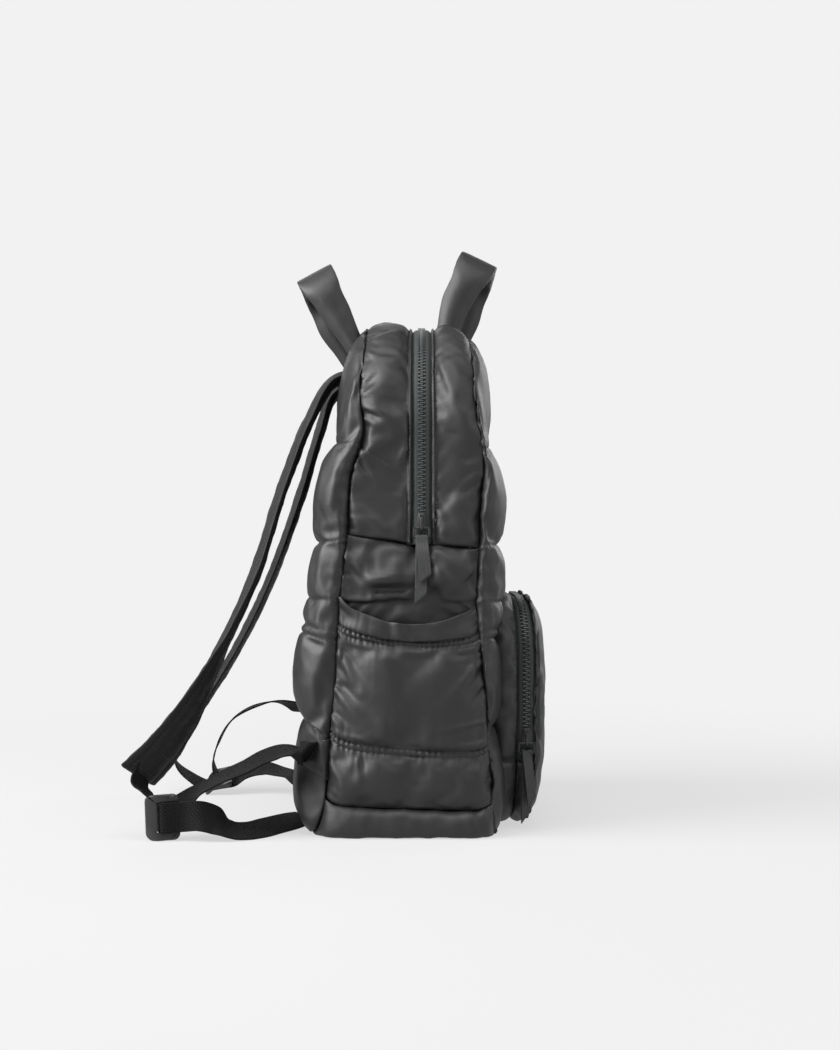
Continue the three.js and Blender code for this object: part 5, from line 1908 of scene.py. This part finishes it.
class BACKPACK_OT_straps(bpy.types.Operator):
    """Makes the shoulder straps with their webbing, tabs and buckles"""

    bl_idname = "backpack.straps"
    bl_label = "Straps"

    def execute(self, context):
        look = context.scene.backpack_looks
        sides = (
            ("left", -1, LEFT_STRAP, LEFT_WEBBING, LEFT_LOOP, LEFT_BUCKLE),
            ("right", 1, RIGHT_STRAP, RIGHT_WEBBING, RIGHT_LOOP, RIGHT_BUCKLE),
        )
        for side, sign, strap, webbing, loop, buckle in sides:
            make_strap("strap_" + side, strap, look)
            make_anchor_tab("anchor_tab_" + side, sign, look)
            make_buckle("buckle_" + side, buckle)
            strips = (("webbing_", webbing_end(sign) + webbing), ("strap_loop_", loop_rows(strap, loop)))
            for name, rows in strips:
                make_strip(name + side, rows, WEBBING_THICKNESS, cloth_finish("woven_webbing"), "webbing")
        return {"FINISHED"}


IMAGE_HEIGHT = 1050
FOCAL_PIXELS = 1785
SENSOR = 36.0
CAMERA_AT = Vector((-1.65, -0.016, 0.263))
BACKGROUND = 0.887
FLOOR_TONE = 0.14
FLOOR_GLOW = 0.585
FLOOR_FADE = (0.25, 1.1)
FLOOR_RADIUS = 30
ROOM_LIGHT = 0.08
LAMP_AIM = Vector((0, 0, 0.22))
# The soft lamps: name, place, size and power.
LAMPS = (
    ("left_softbox", (-0.8, 2.1, 1.4), (1.8, 1.8), 150),
    ("right_softbox", (-0.8, -1.9, 1.0), (1.6, 1.8), 18),
    ("top_softbox", (-0.8, 0.1, 2.0), (2.0, 1.6), 40),
    ("front_softbox", (2.0, -2.0, 1.3), (1.6, 1.6), 45),
    ("far_softbox", (2.2, 0.3, 1.4), (1.6, 1.6), 18),
)


class BACKPACK_OT_stage(bpy.types.Operator):
    """Makes the floor, the lights, the backdrop and the camera"""

    bl_idname = "backpack.stage"
    bl_label = "Stage"

    def execute(self, context):
        scene = context.scene
        scene.view_settings.view_transform = "Standard"
        make_camera(scene)
        make_world(scene)
        make_floor()
        for lamp in LAMPS:
            make_light(*lamp)
        return {"FINISHED"}


def make_camera(scene):
    """The camera, level, looking at the bag's side."""
    data = bpy.data.cameras.new("camera")
    data.sensor_width = SENSOR
    data.lens = SENSOR * FOCAL_PIXELS / IMAGE_HEIGHT
    camera = bpy.data.objects.new("camera", data)
    camera.location = CAMERA_AT
    camera.rotation_euler = (math.pi / 2, 0, -math.pi / 2)
    scene.collection.objects.link(camera)
    scene.camera = camera


def make_world(scene):
    """A white room: the backdrop that shows, and a dimmer light from all round."""
    world = bpy.data.worlds.new("white_room")
    world.use_nodes = True
    tree = world.node_tree
    room = tree.nodes["Background"]
    room.inputs["Color"].default_value = (1, 1, 1, 1)
    room.inputs["Strength"].default_value = ROOM_LIGHT
    seen = add_node(tree, "ShaderNodeBackground")
    seen.inputs["Color"].default_value = (BACKGROUND, BACKGROUND, BACKGROUND, 1)
    path = add_node(tree, "ShaderNodeLightPath")
    mix = add_node(tree, "ShaderNodeMixShader")
    tree.links.new(path.outputs["Is Camera Ray"], mix.inputs[0])
    tree.links.new(room.outputs[0], mix.inputs[1])
    tree.links.new(seen.outputs[0], mix.inputs[2])
    tree.links.new(mix.outputs[0], tree.nodes["World Output"].inputs["Surface"])
    scene.world = world


def make_floor():
    """A pale floor that glows a little more with distance, so that its far edge meets the backdrop."""
    bm = bmesh.new()
    bmesh.ops.create_circle(bm, cap_ends=True, segments=64, radius=FLOOR_RADIUS)
    floor = object_from("floor", bm)
    finish, tree, shader = new_finish("pale_floor", 0.9)
    shader.inputs["Specular IOR Level"].default_value = 0.0
    shader.inputs["Emission Color"].default_value = (1, 1, 1, 1)
    coords = add_node(tree, "ShaderNodeTexCoord")
    far = add_node(tree, "ShaderNodeVectorMath", operation="LENGTH")
    tree.links.new(coords.outputs["Object"], far.inputs[0])
    fades = (("Base Color", FLOOR_TONE, 0), ("Emission Strength", FLOOR_GLOW, BACKGROUND))
    for socket, near, afar in fades:
        fade = add_node(tree, "ShaderNodeMapRange", interpolation_type="SMOOTHSTEP")
        for label, value in zip(("From Min", "From Max", "To Min", "To Max"), (*FLOOR_FADE, near, afar)):
            fade.inputs[label].default_value = value
        tree.links.new(far.outputs["Value"], fade.inputs["Value"])
        tree.links.new(fade.outputs[0], shader.inputs[socket])
    floor.data.materials.append(finish)


def make_light(name, at, size, power):
    """A large soft lamp aimed at the middle of the bag."""
    data = bpy.data.lights.new(name, "AREA")
    data.shape = "RECTANGLE"
    data.size, data.size_y = size
    data.energy = power
    lamp = bpy.data.objects.new(name, data)
    lamp.location = at
    lamp.rotation_euler = (LAMP_AIM - Vector(at)).to_track_quat("-Z", "Y").to_euler()
    bpy.context.scene.collection.objects.link(lamp)


class BACKPACK_PT_panel(bpy.types.Panel):
    """Lists the operators that make the stage and the pieces"""

    bl_idname = "BACKPACK_PT_panel"
    bl_label = "Backpack"
    bl_space_type = "VIEW_3D"
    bl_region_type = "UI"
    bl_category = "Backpack"

    def draw(self, context):
        for operator in OPERATORS:
            self.layout.operator(operator.bl_idname)


OPERATORS = (
    BACKPACK_OT_stage,
    BACKPACK_OT_panels,
    BACKPACK_OT_gusset,
    BACKPACK_OT_sides,
    BACKPACK_OT_front_pocket,
    BACKPACK_OT_zips,
    BACKPACK_OT_handles,
    BACKPACK_OT_straps,
)
CLASSES = (BackpackLooks, *OPERATORS, BACKPACK_PT_panel)


def register():
    for item in CLASSES:
        bpy.utils.register_class(item)
    bpy.types.Scene.backpack_looks = PointerProperty(type=BackpackLooks)


def unregister():
    del bpy.types.Scene.backpack_looks
    for item in reversed(CLASSES):
        bpy.utils.unregister_class(item)


def main():
    register()
    bpy.ops.backpack.stage()
    bpy.ops.backpack.panels()
    bpy.ops.backpack.gusset()
    bpy.ops.backpack.sides()
    bpy.ops.backpack.front_pocket()
    bpy.ops.backpack.zips()
    bpy.ops.backpack.handles()
    bpy.ops.backpack.straps()


if __name__ == "__main__":
    main()
